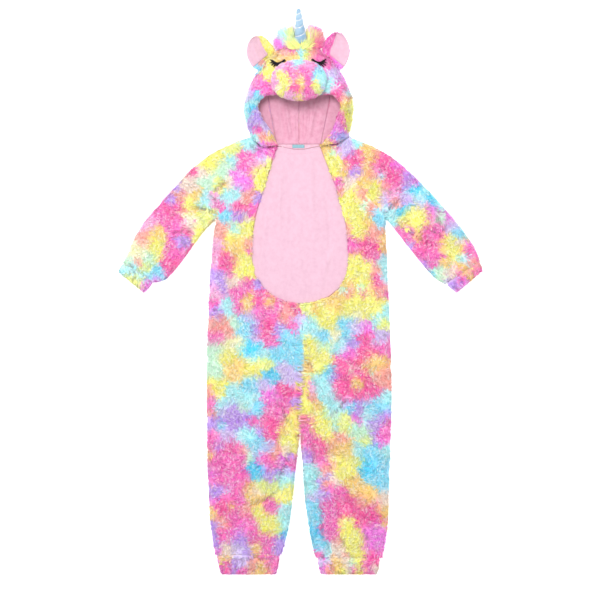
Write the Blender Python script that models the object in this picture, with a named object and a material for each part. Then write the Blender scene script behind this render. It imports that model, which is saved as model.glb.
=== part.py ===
"""Child's hooded unicorn costume in plush, laid flat on its back with the arms spread.

Each cut and sewn piece is one closed solid. Lengths are in millimetres until add_mesh turns them
into metres. +X is the right of the garment as seen from above, +Y points to the horn, +Z is up,
and the garment lies on Z = 0.
"""
import math

import bmesh
import bpy
import numpy as np
from mathutils.bvhtree import BVHTree

# Cloth
MM = 0.001
PLUSH = 10.5          # backing and pile of the plush, as one wall
VELOUR = 3.0          # short velour of the tummy panel
LINING = 2.0          # hood lining
SEAM_Z = 10.0         # height where back and front pieces meet
LAYER_GAP = 0.15      # half of the gap between two layers
SEAM_GAP = 0.2        # half of the gap along a seam
EDGE_WALL = 1.6       # wall left at an outer edge, where the side seam runs
EDGE_RADIUS = 11.0    # rounding of the outer edges
SEAM_DIP = 2.5        # how far the pile sinks at a seam inside the garment
ROW_STEP = 32.0       # length of one grid row down the body and legs
GATHER_PINCH = 0.42   # how much of its thickness the plush loses at a cuff seam
GATHER_REACH = 26.0   # how far from the cuff seam the plush is drawn thinner
FOLD_FADE = 22.0      # distance from an edge over which the folds fade out

# Hood
HOOD_TOP = 62.0       # height of the hood over the face
HOOD_NECK = 34.0      # height of the hood where it meets the neck
HOOD_WALL = 9.0       # plush wall of the hood
HOOD_BULGE = 16.0     # height at which the side of the hood is widest
LINING_GAP = 0.5      # gap between the hood's wall and its lining
HOOD_FOOT = 14.0      # how far inside its outline the hood meets the floor
HOOD_ROUND = 35.0     # radius of the side of the hood
RIM_ROLL = 10.0       # rounding of the front edge of the hood
NECK_CLEARANCE = 0.5  # gap between hood and body along the neck seam

# Muzzle, horn, mane, ears and lashes
MUZZLE_CENTRE = (-3.0, 503.0)
MUZZLE_HALF_WIDTH = 68.0
MUZZLE_HALF_LENGTH = 50.0
MUZZLE_HEIGHT = 40.0
MUZZLE_ANGLES = (-28, -12, 4, 20, 36, 52, 68, 80)  # rings from the underside to the top
MUZZLE_SIDES = 26
MUZZLE_SQUARE = 0.92  # below 1 makes the outline fuller than an ellipse
HORN_BASE = (2.0, 597.4, 38.2)
HORN_TIP = (-4.0, 675.5, 82.0)
HORN_RADIUS = 16.0
HORN_TIP_RADIUS = 3.0
HORN_TURNS = 4.0
HORN_GROOVE = 0.11    # depth of the groove as a share of the radius
HORN_GROOVE_WIDTH = 0.16
HORN_RINGS = 22
HORN_SIDES = 12
LOCK_COLUMNS = 6
LOCK_HEIGHT = 6.2     # height of one row of locks on the backing
LOCK_FOOT = 12.0      # height of the backing's lower edge
LOCK_RISES = (2, 16, 30)      # slope of the locks of each row, in degrees
LOCK_LENGTHS = (36, 40, 33)
LOCK_UNEVEN = (1.0, 0.88, 1.06)
LOCK_RINGS = ((0.0, 0.78), (0.55, 0.7), (1.0, 0.2))  # share of the length, width
BACKING = 3.0
EAR_PLUSH = 8.0
EAR_LINING = 2.5
LASH_WALL = 1.0
LASH_LIFT = 0.9       # gap under a lash, so that it clears the facets of the hood
LID_HALF_WIDTH = 2.4
LASH_TIP = 1.0        # width of a lash at its tip
LABEL_SIZE = (29.0, 8.0, 0.8)
LABEL_CENTRE = -4.0

# Cuff rings from the gather line to the open edge: share of the way, fullness
CUFF_RINGS = [(0.0, 0.0), (0.2, 0.85), (0.75, 1.0), (1.0, 0.2)]
CUFF_WAVES = 6
CUFF_MIDDLE = 11.0    # height of the middle of a cuff
CUFF_THIN = 7.4       # half thickness at the gather line
CUFF_FULL = 3.6       # what the casing adds where it is fullest
CUFF_WAVE = 0.13
CUFF_SLIT = 1.7       # half height of the slit inside
CUFF_WALL = 10.0
CUFF_DRAW = 3.5       # how far the gather line is drawn in at each side

# Colours: name, red, green, blue, roughness
COLOURS = {
    "plush_pink": (0.93, 0.33, 0.66, 0.95),
    "plush_yellow": (0.97, 0.88, 0.42, 0.95),
    "plush_aqua": (0.48, 0.80, 0.93, 0.95),
    "plush_lilac": (0.77, 0.58, 0.92, 0.95),
    "velour_pink": (0.97, 0.68, 0.81, 0.85),
    "lining_pink": (0.93, 0.55, 0.70, 0.90),
    "satin_blue": (0.52, 0.72, 0.88, 0.30),
    "thread_black": (0.01, 0.01, 0.012, 0.60),
    "label_grey": (0.40, 0.60, 0.66, 0.60),
}

# Seams and outlines, a row for each point: x, y
RAGLAN_LEFT = [(-92, 347), (-86, 317), (-112, 269), (-138, 235), (-171, 206), (-193, 187),
               (-200, 175)]
RAGLAN_RIGHT = [(85, 354), (90, 334), (109, 300), (145, 245), (176, 210), (196, 192),
                (203, 180)]
SHOULDER_LEFT = [(-118, 372), (-169, 355), (-222, 326), (-263, 293), (-308, 245), (-349, 197),
                 (-388, 149), (-409, 101), (-425, 72)]
SHOULDER_RIGHT = [(118, 373), (164, 355), (217, 326), (258, 293), (306, 245), (349, 197),
                  (390, 149), (421, 101), (431, 74)]
UNDERARM_LEFT = [(-200, 175), (-227, 149), (-263, 101), (-299, 53), (-323, 29), (-349, 23)]
UNDERARM_RIGHT = [(203, 180), (227, 149), (265, 101), (304, 53), (328, 29), (347, 19)]
TUMMY_LEFT = [(-54, 349), (-67, 312), (-88, 242), (-105, 187), (-116, 122), (-116, 82),
              (-108, 38), (-90, 12), (-56, -16), (-25, -25), (1, -29)]
TUMMY_RIGHT = [(48, 349), (66, 302), (82, 263), (97, 214), (113, 149), (116, 106), (116, 70),
               (109, 31), (88, 2), (52, -19), (1, -29)]
TUMMY_DIP = 8.0       # how far the middle of the tummy panel's top edge dips
SIDE_LEFT = [(-200, 175), (-206, 137), (-212, 77), (-216, 5), (-220, -67), (-222, -187),
             (-222, -331), (-220, -427), (-217, -499), (-212, -571), (-203, -629)]
SIDE_RIGHT = [(203, 180), (205, 125), (208, 41), (211, -19), (214, -91), (217, -187), (217, -331),
              (212, -451), (208, -571), (195, -637)]
CENTRE_FRONT = [(1, -29), (6, -100), (8, -163)]
CENTRE_BACK = [(-3, 347), (0, 100), (8, -163)]
INSEAM_LEFT = [(8, -163), (-1, -205), (-5, -283), (-4, -355), (-8, -379), (-12, -427), (-20, -499),
               (-26, -547), (-35, -595), (-46, -629)]
INSEAM_RIGHT = [(8, -163), (9, -205), (5, -283), (3, -355), (5, -379), (8, -427), (13, -499),
                (20, -547), (28, -595), (38, -637)]
BACK_INSEAM_OUT = 1.0  # how far the back pieces reach past the front ones between the legs

# Cuffs: gather line start and end, then open edge start and end
CUFFS = {
    "cuff_wrist_left": ((-425, 72), (-349, 23), (-438, 49), (-373, -4), "plush_pink"),
    "cuff_wrist_right": ((431, 74), (347, 19), (440, 52), (374, -4), "plush_pink"),
    "cuff_ankle_left": ((-203, -629), (-46, -629), (-192, -677), (-54, -677), "plush_lilac"),
    "cuff_ankle_right": ((38, -637), (195, -637), (46, -677), (187, -677), "plush_pink"),
}

# Folds: start x, start y, end x, end y, half width, height (below 0 for a trough)
FOLDS = [
    (-206, 229, -185, 266, 11, -4.0),
    (-206, 182, -249, 197, 11, -4.0),
    (-310, 190, -345, 150, 16, 3.0),
    (203, 187, 239, 226, 11, -4.0),
    (229, 166, 299, 125, 12, -4.0),
    (299, 154, 354, 146, 11, -3.5),
    (250, 240, 300, 200, 16, 3.0),
    (-190, 120, -150, 70, 16, 3.0),
    (190, 110, 150, 60, 16, 3.0),
    (-58, -271, -23, -314, 13, -4.0),
    (-30, -394, -58, -451, 13, -4.0),
    (-119, -509, -61, -482, 14, -4.5),
    (-180, -300, -150, -420, 18, 3.5),
    (116, -252, 78, -290, 13, -4.5),
    (18, -165, 42, -198, 13, -4.0),
    (150, -330, 120, -450, 18, 3.5),
    (60, -520, 130, -545, 15, -4.0),
    (-170, -585, -100, -600, 14, 3.0),
    (80, -600, 150, -590, 14, 3.0),
]

# Hood stations from the left of the neck over the crown to the right of the neck:
# outline x, y, then front edge x, y, then lining seam x, y
HOOD = [
    (-117.6, 372.5, -54, 349.6, -57, 354),
    (-128, 398, -66, 382, -62, 384),
    (-135, 432, -86, 410, -69, 420),
    (-132, 463, -100, 439, -75, 452),
    (-119, 497, -96, 456, -79, 484),
    (-103, 529, -80, 468, -74, 518),
    (-83, 554, -64, 470, -58, 541),
    (-60, 574, -44, 468, -42, 556),
    (-32, 592, -23, 466, -23, 569),
    (1, 601, -2, 464, 0, 576),
    (35, 592, 18, 466, 23, 569),
    (55, 574, 40, 468, 40, 556),
    (76, 554, 61, 470, 55, 541),
    (96, 529, 76, 468, 69, 518),
    (113, 497, 91, 456, 73, 484),
    (126, 466, 96, 439, 70, 452),
    (128, 439, 85, 418, 63, 420),
    (125, 410, 77, 389, 56, 384),
    (117.6, 373.5, 48, 349.6, 50, 354),
]
NECK_BEND = {0: (-92, 347.7), 18: (85, 354.7)}  # corners of the neck seam, by station
FACE_STATIONS = (6, 12)
CENTRE_STATION = 9
BACK_STOP = 8.7        # station at which the back of the hood closes at the crown

# Ears: base from the hood, outer edge, inner edge and tip
EARS = {
    "left": {
        "base": (5.05, 6.95),
        "outer": [(-115, 540), (-126, 560), (-128, 582), (-121, 602)],
        "inner": [(-60, 583), (-70, 595), (-80, 605)],
        "tip": [(-110, 611), (-92, 614)],
    },
    "right": {
        "base": (12.95, 11.15),
        "outer": [(107, 540), (116, 560), (119, 582), (111, 605)],
        "inner": [(53, 588), (60, 602), (68, 613)],
        "tip": [(100, 618), (82, 622)],
    },
}

# Lashes of the closed eyes: lid x, y from the inner to the outer end, then lash tips
LASHES = {
    "left": ([(-35, 552), (-46, 546), (-56, 544), (-66, 550)],
             [(-58, 534), (-64, 535), (-69, 539), (-73, 545), (-72, 554)]),
    "right": ([(28, 554), (38, 547), (48, 545.5), (57, 550)],
              [(51, 535), (57, 535.5), (62, 539), (65, 545), (62, 555)]),
}
LID_SHARES = (0.0, 0.3, 0.5, 0.64, 0.76, 0.88, 1.0)

FRONT_SHARES = (0.0, 0.03, 0.09, 0.2, 0.35, 0.5, 0.65, 0.8, 0.91, 0.97, 1.0)
BACK_SHARES = (0.0, 0.03, 0.09, 0.35, 0.65, 0.91, 0.97, 1.0)
EDGE_COLUMNS = (0.0, 1.6, 5.0, 11.0)
FRONT_INNER_COLUMNS = 4
BACK_INNER_COLUMNS = 1
TUMMY_ROWS = 8         # rows of the tummy panel below the armpits


def clear_scene():
    for item in list(bpy.data.objects):
        bpy.data.objects.remove(item, do_unlink=True)


def material(name):
    """A Principled material in one of the costume's colours."""
    found = bpy.data.materials.get(name)
    if found:
        return found
    red, green, blue, roughness = COLOURS[name]
    made = bpy.data.materials.new(name)
    made.use_nodes = True
    shader = made.node_tree.nodes["Principled BSDF"]
    shader.inputs["Base Color"].default_value = (red, green, blue, 1.0)
    shader.inputs["Roughness"].default_value = roughness
    shader.inputs["Metallic"].default_value = 0.0
    made.diffuse_color = (red, green, blue, 1.0)
    return made


def add_mesh(name, points, faces, colour):
    """One named object from points in millimetres, with its faces turned outwards."""
    mesh = bpy.data.meshes.new(name)
    mesh.from_pydata([tuple(float(v) * MM for v in p) for p in points], [], faces)
    work = bmesh.new()
    work.from_mesh(mesh)
    bmesh.ops.remove_doubles(work, verts=work.verts, dist=0.00002)
    bmesh.ops.recalc_face_normals(work, faces=work.faces)
    work.to_mesh(mesh)
    work.free()
    mesh.shade_smooth()
    mesh.set_sharp_from_angle(angle=math.radians(50))
    mesh.materials.append(material(colour))
    made = bpy.data.objects.new(name, mesh)
    bpy.context.collection.objects.link(made)
    return made


def smooth_path(points, steps=12):
    """A smooth curve through the points, as many short lines."""
    pts = [np.array(p, float) for p in points]
    pts = [2 * pts[0] - pts[1]] + pts + [2 * pts[-1] - pts[-2]]
    out = []
    for before, start, end, after in zip(pts, pts[1:], pts[2:], pts[3:]):
        for step in range(steps):
            t = step / steps
            out.append(0.5 * (2 * start + (end - before) * t
                              + (2 * before - 5 * start + 4 * end - after) * t ** 2
                              + (3 * start - before - 3 * end + after) * t ** 3))
    out.append(pts[-2])
    return np.array(out)


def walk(path, shares):
    """Points of the path at shares of its length."""
    steps = np.linalg.norm(np.diff(path, axis=0), axis=1)
    along = np.concatenate([[0], np.cumsum(steps)])
    at = np.array(shares) * along[-1]
    return np.stack([np.interp(at, along, path[:, k]) for k in range(path.shape[1])], axis=1)


def at_heights(path, heights):
    """Points of a falling path at the given y values."""
    return np.stack([np.interp(heights, path[::-1, 1], path[::-1, 0]), heights], axis=1)


def moved_aside(points, distance):
    """The row of points moved to the left of its direction by a distance."""
    run = np.gradient(points, axis=0)
    run = run / np.linalg.norm(run, axis=1)[:, None]
    return points + distance * np.stack([-run[:, 1], run[:, 0]], axis=1)


def quarter(distance, radius):
    """Height of a quarter circle, from 0 at its foot to 1 at its top."""
    left = 1 - np.clip(distance / radius, 0, 1)
    return np.sqrt(np.clip(1 - left ** 2, 0, 1))


def fold_height(x, y):
    """Height of the folds of the cloth at a point."""
    total = 0.0
    for x0, y0, x1, y1, half_width, height in FOLDS:
        run = np.array([x1 - x0, y1 - y0], float)
        share = np.clip(((x - x0) * run[0] + (y - y0) * run[1]) / run.dot(run), 0, 1)
        off = np.hypot(x - x0 - share * run[0], y - y0 - share * run[1])
        total += height * math.exp(-(off / half_width) ** 2)
    return total


def grid_faces(rows, columns, offset, wrap):
    """Triangles of one side of a sheet of rows and columns."""
    faces = []
    for r in range(rows - 1):
        for c in range(columns if wrap else columns - 1):
            n = (c + 1) % columns
            a, b = offset + r * columns + c, offset + r * columns + n
            d, e = a + columns, b + columns
            faces += [(a, b, e), (a, e, d)]
    return faces


def sheet(name, outer, inner, colour, wrap=False):
    """A wall between two grids of points, closed along its edges."""
    outer, inner = np.array(outer, float), np.array(inner, float)
    rows, columns = outer.shape[:2]
    size = rows * columns
    faces = grid_faces(rows, columns, 0, wrap)
    faces += [f[::-1] for f in grid_faces(rows, columns, size, wrap)]
    rim = []
    for row in (0, rows - 1):
        for c in range(columns if wrap else columns - 1):
            rim.append((row * columns + c, row * columns + (c + 1) % columns))
    if not wrap:
        for column in (0, columns - 1):
            rim += [(r * columns + column, (r + 1) * columns + column) for r in range(rows - 1)]
    faces += [(a, b, b + size, a + size) for a, b in rim]
    points = np.concatenate([outer.reshape(-1, 3), inner.reshape(-1, 3)])
    return add_mesh(name, points, faces, colour)


def body_columns(start, end, inner_count):
    """Points of one row, close together at both edges, with their distance from each edge."""
    width = np.linalg.norm(end - start)
    near = list(EDGE_COLUMNS)
    room = width - 2 * near[-1]
    middle = [near[-1] + room * (k + 1) / (inner_count + 1) for k in range(inner_count)]
    at = near + middle + [width - d for d in reversed(near)]
    return [(start + (end - start) * d / width, d, width - d) for d in at]


def wall_top(from_start, from_end, start_low, end_low):
    """Height of the plush over its inside, lower at edges and seams."""
    first = start_low + (PLUSH - start_low) * quarter(from_start, EDGE_RADIUS)
    second = end_low + (PLUSH - end_low) * quarter(from_end, EDGE_RADIUS)
    return min(first, second)


def gathered(distance):
    """Share of its thickness that the plush keeps at a distance from a cuff seam."""
    return 1 - GATHER_PINCH * (1 - quarter(max(distance, 0.0), GATHER_REACH))


def body_panel(name, starts, ends, kinds, colour, front, gather_from):
    """A front or back panel from its two side lines. kinds says which side is a seam."""
    outer, inner = [], []
    columns = FRONT_INNER_COLUMNS if front else BACK_INNER_COLUMNS
    for start, end, (start_seam, end_seam) in zip(starts, ends, kinds):
        lows = [PLUSH - SEAM_DIP if seam else EDGE_WALL for seam in (start_seam, end_seam)]
        pinch = gathered(start[1] - gather_from)
        out_row, in_row = [], []
        for point, from_start, from_end in body_columns(start, end, columns):
            top = wall_top(from_start, from_end, *lows) * pinch
            fade = quarter(min(from_start, from_end), FOLD_FADE)
            crease = fold_height(*point) * fade if front else 0.0
            out_z, in_z = layer_heights(top, crease, front)
            out_row.append((point[0], point[1], out_z))
            in_row.append((point[0], point[1], in_z))
        outer.append(out_row)
        inner.append(in_row)
    return sheet(name, outer, inner, colour)


def layer_heights(top, crease, front):
    """Outer and inner z of a wall of the front or the back layer."""
    if front:
        return SEAM_Z + LAYER_GAP + top + crease, SEAM_Z + LAYER_GAP + max(crease, 0.0) * 0.9
    scale = (SEAM_Z - LAYER_GAP) / PLUSH
    return SEAM_Z - LAYER_GAP - max(top * scale, EDGE_WALL), SEAM_Z - LAYER_GAP


def leg_heights(first, last):
    """y of the rows down a leg, closer together at the gathered end."""
    count = max(2, round((first - last) / ROW_STEP))
    rows = list(np.linspace(first, last + 20, count))
    return rows[1:] + [last + 9, last + 3, last]


def spread_down(heights, top):
    """The falling heights stretched so that they start at another top and end as before."""
    return heights[-1] + (heights - heights[-1]) * (top - heights[-1]) / (heights[0] - heights[-1])


def body_lines(side_points, middle_parts, shares, raglan, inseam):
    """Side and middle lines of a half of the body, point by point from the neck to the ankle."""
    side_path, raglan_path = smooth_path(side_points), smooth_path(raglan)
    raglan_rows = walk(raglan_path, shares)
    tummy, centre = middle_parts
    crotch, ankle = centre[-1][1], side_points[-1][1]
    arm_y = raglan_rows[-1][1]
    side, middle = list(raglan_rows), []
    if tummy:
        tummy_path = smooth_path(tummy)
        middle += list(at_heights(tummy_path, spread_down(raglan_rows[:, 1], tummy[0][1])))
        below = tummy_path[tummy_path[:, 1] <= arm_y]
        below = np.vstack([at_heights(tummy_path, np.array([arm_y])), below])
        count = TUMMY_ROWS
        part = walk(below, np.linspace(0, 1, count + 1)[1:])
        middle += list(part)
        drop = np.linspace(arm_y, part[-1][1] - 4, count + 1)[1:]
        side += list(at_heights(side_path, drop))
        first = drop[-1]
    else:
        centre_path = smooth_path(centre)
        middle += list(at_heights(centre_path, spread_down(raglan_rows[:, 1], centre[0][1])))
        first = arm_y
    centre_path = smooth_path(centre)
    start = middle[-1][1]
    count = max(2, round((start - crotch) / (ROW_STEP if tummy else 2 * ROW_STEP)))
    middle += list(at_heights(centre_path, np.linspace(start, crotch, count + 1)[1:]))
    side += list(at_heights(side_path, np.linspace(first, crotch, count + 1)[1:]))
    rows = np.array(leg_heights(crotch, ankle))
    if not tummy:
        rows = np.array([y for k, y in enumerate(rows) if k % 2 or k > len(rows) - 5])
    middle += list(at_heights(smooth_path(inseam), rows))
    side += list(at_heights(side_path, rows))
    return np.array(side), np.array(middle), len(shares)


def make_body():
    """Front and back halves and the tummy panel."""
    halves = {
        "left": (SIDE_LEFT, RAGLAN_LEFT, TUMMY_LEFT, INSEAM_LEFT, 1),
        "right": (SIDE_RIGHT, RAGLAN_RIGHT, TUMMY_RIGHT, INSEAM_RIGHT, -1),
    }
    tummy_sides = {}
    for label, (side, raglan, tummy, inseam, sign) in halves.items():
        colour = "plush_pink" if label == "left" else "plush_yellow"
        outs, mids, raglan_count = body_lines(side, (tummy, CENTRE_FRONT), FRONT_SHARES, raglan,
                                              inseam)
        tummy_count = len(FRONT_SHARES) + TUMMY_ROWS
        tummy_sides[label] = mids[:tummy_count]
        kinds = [(k < raglan_count, mids[k][1] > CENTRE_FRONT[-1][1] - 1) for k in range(len(mids))]
        gather = side[-1][1]
        inset_outs, inset_mids = inset_lines(outs, mids, raglan_count, sign)
        body_panel("front_" + label, inset_outs, inset_mids, kinds, colour, True, gather)
        back_inseam = [(x + sign * BACK_INSEAM_OUT * (k > 1), y) for k, (x, y) in enumerate(inseam)]
        outs, mids, raglan_count = body_lines(side, (None, CENTRE_BACK), BACK_SHARES, raglan,
                                              back_inseam)
        kinds = [(k < raglan_count, mids[k][1] > CENTRE_BACK[-1][1] - 1) for k in range(len(mids))]
        inset_outs, inset_mids = inset_lines(outs, mids, raglan_count, sign)
        body_panel("back_" + label, inset_outs, inset_mids, kinds, "plush_aqua", False, gather)
    make_tummy(tummy_sides["left"], tummy_sides["right"])


def inset_lines(outs, mids, raglan_count, sign):
    """Both lines of a body half drawn in by the seam gap."""
    inset_mids = moved_aside(mids, -sign * SEAM_GAP)
    inset_outs = outs.copy()
    inset_outs[:raglan_count] = moved_aside(outs[:raglan_count], sign * SEAM_GAP)
    inset_outs[:, 1][-1] += SEAM_GAP
    inset_mids[:, 1][-1] = inset_outs[:, 1][-1]
    return inset_outs, inset_mids


def make_tummy(left, right):
    """The velour panel between the two fronts."""
    columns = np.linspace(0, 1, 9)
    left, right = moved_aside(left, SEAM_GAP), moved_aside(right, -SEAM_GAP)
    centre = (left[-1] + right[-1]) / 2
    left[-1], right[-1] = centre + (-1.5, 0.6), centre + (1.5, 0.6)
    outer, inner = [], []
    for k, (start, end) in enumerate(zip(left, right)):
        dip_share = max(0.0, 1 - k / 4)
        out_row, in_row = [], []
        for share in columns:
            x, y = start + (end - start) * share
            y -= TUMMY_DIP * dip_share * math.sin(math.pi * share) ** 1.5
            soft = 1.6 * math.sin(math.pi * share) * math.sin(math.pi * k / (len(left) - 1))
            out_row.append((x, y, SEAM_Z + LAYER_GAP + VELOUR + soft))
            in_row.append((x, y, SEAM_Z + LAYER_GAP))
        outer.append(out_row)
        inner.append(in_row)
    sheet("tummy_panel", outer, inner, "velour_pink")


def sleeve_rows(raglan, shoulder, underarm):
    """Lines across the sleeve from the raglan seam to the wrist, with 11 points each."""
    rows_along = (0.0, 0.06, 0.14, 0.25, 0.37, 0.5, 0.63, 0.76, 0.87, 0.94, 0.975, 1.0)
    seam = walk(smooth_path(raglan), FRONT_SHARES)
    top = walk(smooth_path(shoulder), rows_along)
    under = walk(smooth_path(underarm), rows_along)
    shares = np.array(FRONT_SHARES)[:, None]
    bow = seam - (seam[0] + (seam[-1] - seam[0]) * shares)
    rows = [seam]
    for k, (start, end) in enumerate(zip(top, under)):
        if k == 0:
            end = under[0] + (under[1] - under[0]) * 0.35
        weight = max(0.0, 1 - (k + 1) / 5)
        rows.append(start + (end - start) * shares + bow * weight)
    return rows


def make_sleeve(label, raglan, shoulder, underarm, sign):
    """A raglan sleeve, folded along the shoulder and open along the arm's under seam."""
    rows = sleeve_rows(raglan, shoulder, underarm)
    rows[0] = moved_aside(rows[0], -sign * SEAM_GAP)
    last = rows[-1]
    back = (rows[-2] - last) / np.linalg.norm(rows[-2] - last, axis=1)[:, None]
    rows[-1] = last + back * SEAM_GAP
    back_index = [FRONT_SHARES.index(s) for s in BACK_SHARES]
    outer, inner = [], []
    for k, row in enumerate(rows):
        to_wrist = np.linalg.norm(row[5] - rows[-1][5])
        pinch = gathered(to_wrist)
        dip = 1.0 if k > 0 else (PLUSH - SEAM_DIP) / PLUSH
        width = np.linalg.norm(row[-1] - row[0])
        tops = [max(wall_top(width * share, width * (1 - share), EDGE_WALL, EDGE_WALL)
                    * pinch * dip, EDGE_WALL) for share in FRONT_SHARES]
        out_row, in_row = [], []
        for j in reversed(range(len(FRONT_SHARES))):
            x, y = row[j]
            fade = quarter(width * min(FRONT_SHARES[j], 1 - FRONT_SHARES[j]), FOLD_FADE)
            crease = fold_height(x, y) * fade * (k > 0)
            out_z, in_z = layer_heights(tops[j], crease, True)
            out_row.append((x, y, out_z))
            inside = row[j] if j else row[0] + (row[1] - row[0]) * 0.8
            in_row.append((inside[0], inside[1], in_z))
        for j in back_index:
            x, y = row[j]
            out_z, in_z = layer_heights(tops[j], 0.0, False)
            out_row.append((x, y, out_z))
            inside = row[j] if j else row[0] + (row[1] - row[0]) * 0.8
            in_row.append((inside[0], inside[1], in_z))
        outer.append(out_row)
        inner.append(in_row)
    sheet("sleeve_" + label, outer, inner, "plush_lilac" if sign > 0 else "plush_yellow")


def make_cuff(name, gather_start, gather_end, open_start, open_end, colour):
    """An elastic cuff: a flat ring of plush with gathers, open at its end."""
    points_around = 4 * CUFF_WAVES
    outer, inner = [], []
    for along, puff in CUFF_RINGS:
        start = np.array(gather_start) * (1 - along) + np.array(open_start) * along
        end = np.array(gather_end) * (1 - along) + np.array(open_end) * along
        if along == 0.0:
            drawn = (np.array(open_start) + open_end - gather_start - gather_end) / 2
            start = start + SEAM_GAP * drawn / np.linalg.norm(drawn)
            end = end + SEAM_GAP * drawn / np.linalg.norm(drawn)
        middle, half = (start + end) / 2, (end - start) / 2
        half_width = np.linalg.norm(half)
        reach = 1 - CUFF_DRAW * (1 - 0.85 * puff) / half_width
        thick = CUFF_THIN + CUFF_FULL * puff
        out_row, in_row = [], []
        for k in range(points_around):
            angle = 2 * math.pi * k / points_around
            side, up = math.cos(angle), math.sin(angle)
            lift = math.copysign(abs(up) ** 0.55, up) if abs(up) > 1e-9 else 0.0
            wave = 1 + CUFF_WAVE * puff * (1 if k % 2 else -1)
            flat = middle + half * side * reach
            z = max(CUFF_MIDDLE + lift * thick * wave, 0.0)
            out_row.append((flat[0], flat[1], z))
            hollow = middle + half * side * (1 - CUFF_WALL / half_width)
            in_row.append((hollow[0], hollow[1], CUFF_MIDDLE + lift * CUFF_SLIT))
        outer.append(out_row)
        inner.append(in_row)
    sheet(name, outer, inner, colour, wrap=True)


def station(at):
    """Outline, front edge and lining seam of the hood at a station, between rows as well."""
    low = min(int(at), len(HOOD) - 2)
    share = at - low
    row = np.array(HOOD[low]) * (1 - share) + np.array(HOOD[low + 1]) * share
    return row[0:2], row[2:4], row[4:6]


def hood_height(y):
    """Height of the hood, lower at the neck."""
    share = np.clip((y - 372.0) / (475.0 - 372.0), 0, 1)
    return HOOD_NECK + (HOOD_TOP - HOOD_NECK) * share * share * (3 - 2 * share)


def section_frame(at):
    """Maps a distance from the outline of the hood to x and y."""
    outline, edge, _ = station(at)
    corners = [outline]
    if at in NECK_BEND:
        corners.append(np.array(NECK_BEND[at], float))
    corners.append(edge)
    steps = [np.linalg.norm(b - a) for a, b in zip(corners, corners[1:])]
    along = np.concatenate([[0], np.cumsum(steps)])
    corners = np.array(corners)

    def place(distance):
        return np.array([np.interp(distance, along, corners[:, k]) for k in (0, 1)])
    return place, along[-1]


def hood_profile(length, top, inset):
    """Distance and z across the wall of the hood, at an inset from its outer face."""
    bend = min(HOOD_ROUND, 0.62 * length)
    wall = inset
    rows = []
    if inset == 0:
        rows += [(HOOD_FOOT, 0.0), (8.0, 0.0), (2.5, 5.0)]
    else:
        slack = inset - HOOD_WALL
        floor = SEAM_Z - LAYER_GAP + slack
        rows += [(HOOD_FOOT + slack * 0.3, floor), (12.2 + slack * 0.7, floor + 0.3),
                 (10.3 + slack * 0.9, floor + 2.2)]
    for angle in (0, 25, 50, 72, 90):
        turn = math.radians(angle)
        rows.append((wall + (bend - wall) * (1 - math.cos(turn)),
                     HOOD_BULGE + (top - wall - HOOD_BULGE) * math.sin(turn)))
    flat_end = length - RIM_ROLL - max(0.0, inset - HOOD_WALL)
    for share in (0.5, 1.0):
        rows.append((bend + (flat_end - bend) * share, top - wall))
    if inset == 0:
        rows += [(length - 3.0, top - 4.0), (length, top - 11.0)]
    else:
        slack = inset - HOOD_WALL
        rows += [(length - 8.6 - slack, top - 10.4 - slack * 0.6), (length - 8.0 - slack, top - 13.0)]
    return rows


def hood_rows(at, inset, shift):
    """Points across the hood at a station, with the wall's end moved along the hood."""
    place, length = section_frame(at)
    outline = place(0.0)
    rows = []
    for distance, z in hood_profile(length, hood_height(outline[1]), inset):
        x, y = place(min(max(distance, 0.0), length))
        rows.append((x + shift[0], y + shift[1], z))
    return rows


def seam_shift(at, toward):
    """A small move along the outline of the hood, towards a neighbouring station."""
    here, there = station(at)[0], station(at + toward)[0]
    run = (there - here) / np.linalg.norm(there - here)
    return run * SEAM_GAP


def make_hood():
    """Sides, face and back of the hood in plush."""
    last = len(HOOD) - 1
    pieces = {
        "hood_side_left": (0, FACE_STATIONS[0], "plush_aqua"),
        "hood_face": (FACE_STATIONS[0], FACE_STATIONS[1], "plush_yellow"),
        "hood_side_right": (FACE_STATIONS[1], last, "plush_pink"),
    }
    for name, (first, final, colour) in pieces.items():
        outer, inner = [], []
        for at in range(first, final + 1):
            shift = np.zeros(2)
            if at == first and first > 0:
                shift = seam_shift(at, 1)
            if at == final and final < last:
                shift = seam_shift(at, -1)
            outer.append(hood_rows(at, 0, shift))
            inner.append(hood_rows(at, HOOD_WALL, shift))
        sheet(name, outer, inner, colour)
    for label, sign in (("left", 1), ("right", -1)):
        make_hood_floor("hood_back_" + label, sign, HOOD_FOOT + 0.4, 0.0, SEAM_Z - LAYER_GAP,
                        "plush_lilac")


def make_hood_floor(name, sign, inside, low, high, colour):
    """Half of the back of the hood, which lies on the floor."""
    stations = list(range(CENTRE_STATION)) + [BACK_STOP]
    shares = (0.0, 0.2, 0.6, 1.0)
    upper, lower = [], []
    for k, left_at in enumerate(stations):
        at = left_at if sign > 0 else len(HOOD) - 1 - left_at
        other = len(HOOD) - 1 - at
        start = section_frame(at)[0](inside)
        opposite = section_frame(other)[0](inside)
        middle_y = (start[1] + opposite[1]) / 2 if k else 348.6
        end = np.array([-3.0 * (k == 0) - sign * SEAM_GAP * 1.5, middle_y])
        row = [start + (end - start) * share for share in shares]
        if at in NECK_BEND:
            bend = np.array(NECK_BEND[at], float) + (0, 0.3)
            row[1] = bend
            row[2] = bend + (end - bend) * 0.5
        upper.append([(p[0], p[1], high) for p in row])
        lower.append([(p[0], p[1], low) for p in row])
    sheet(name, upper, lower, colour)


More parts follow.
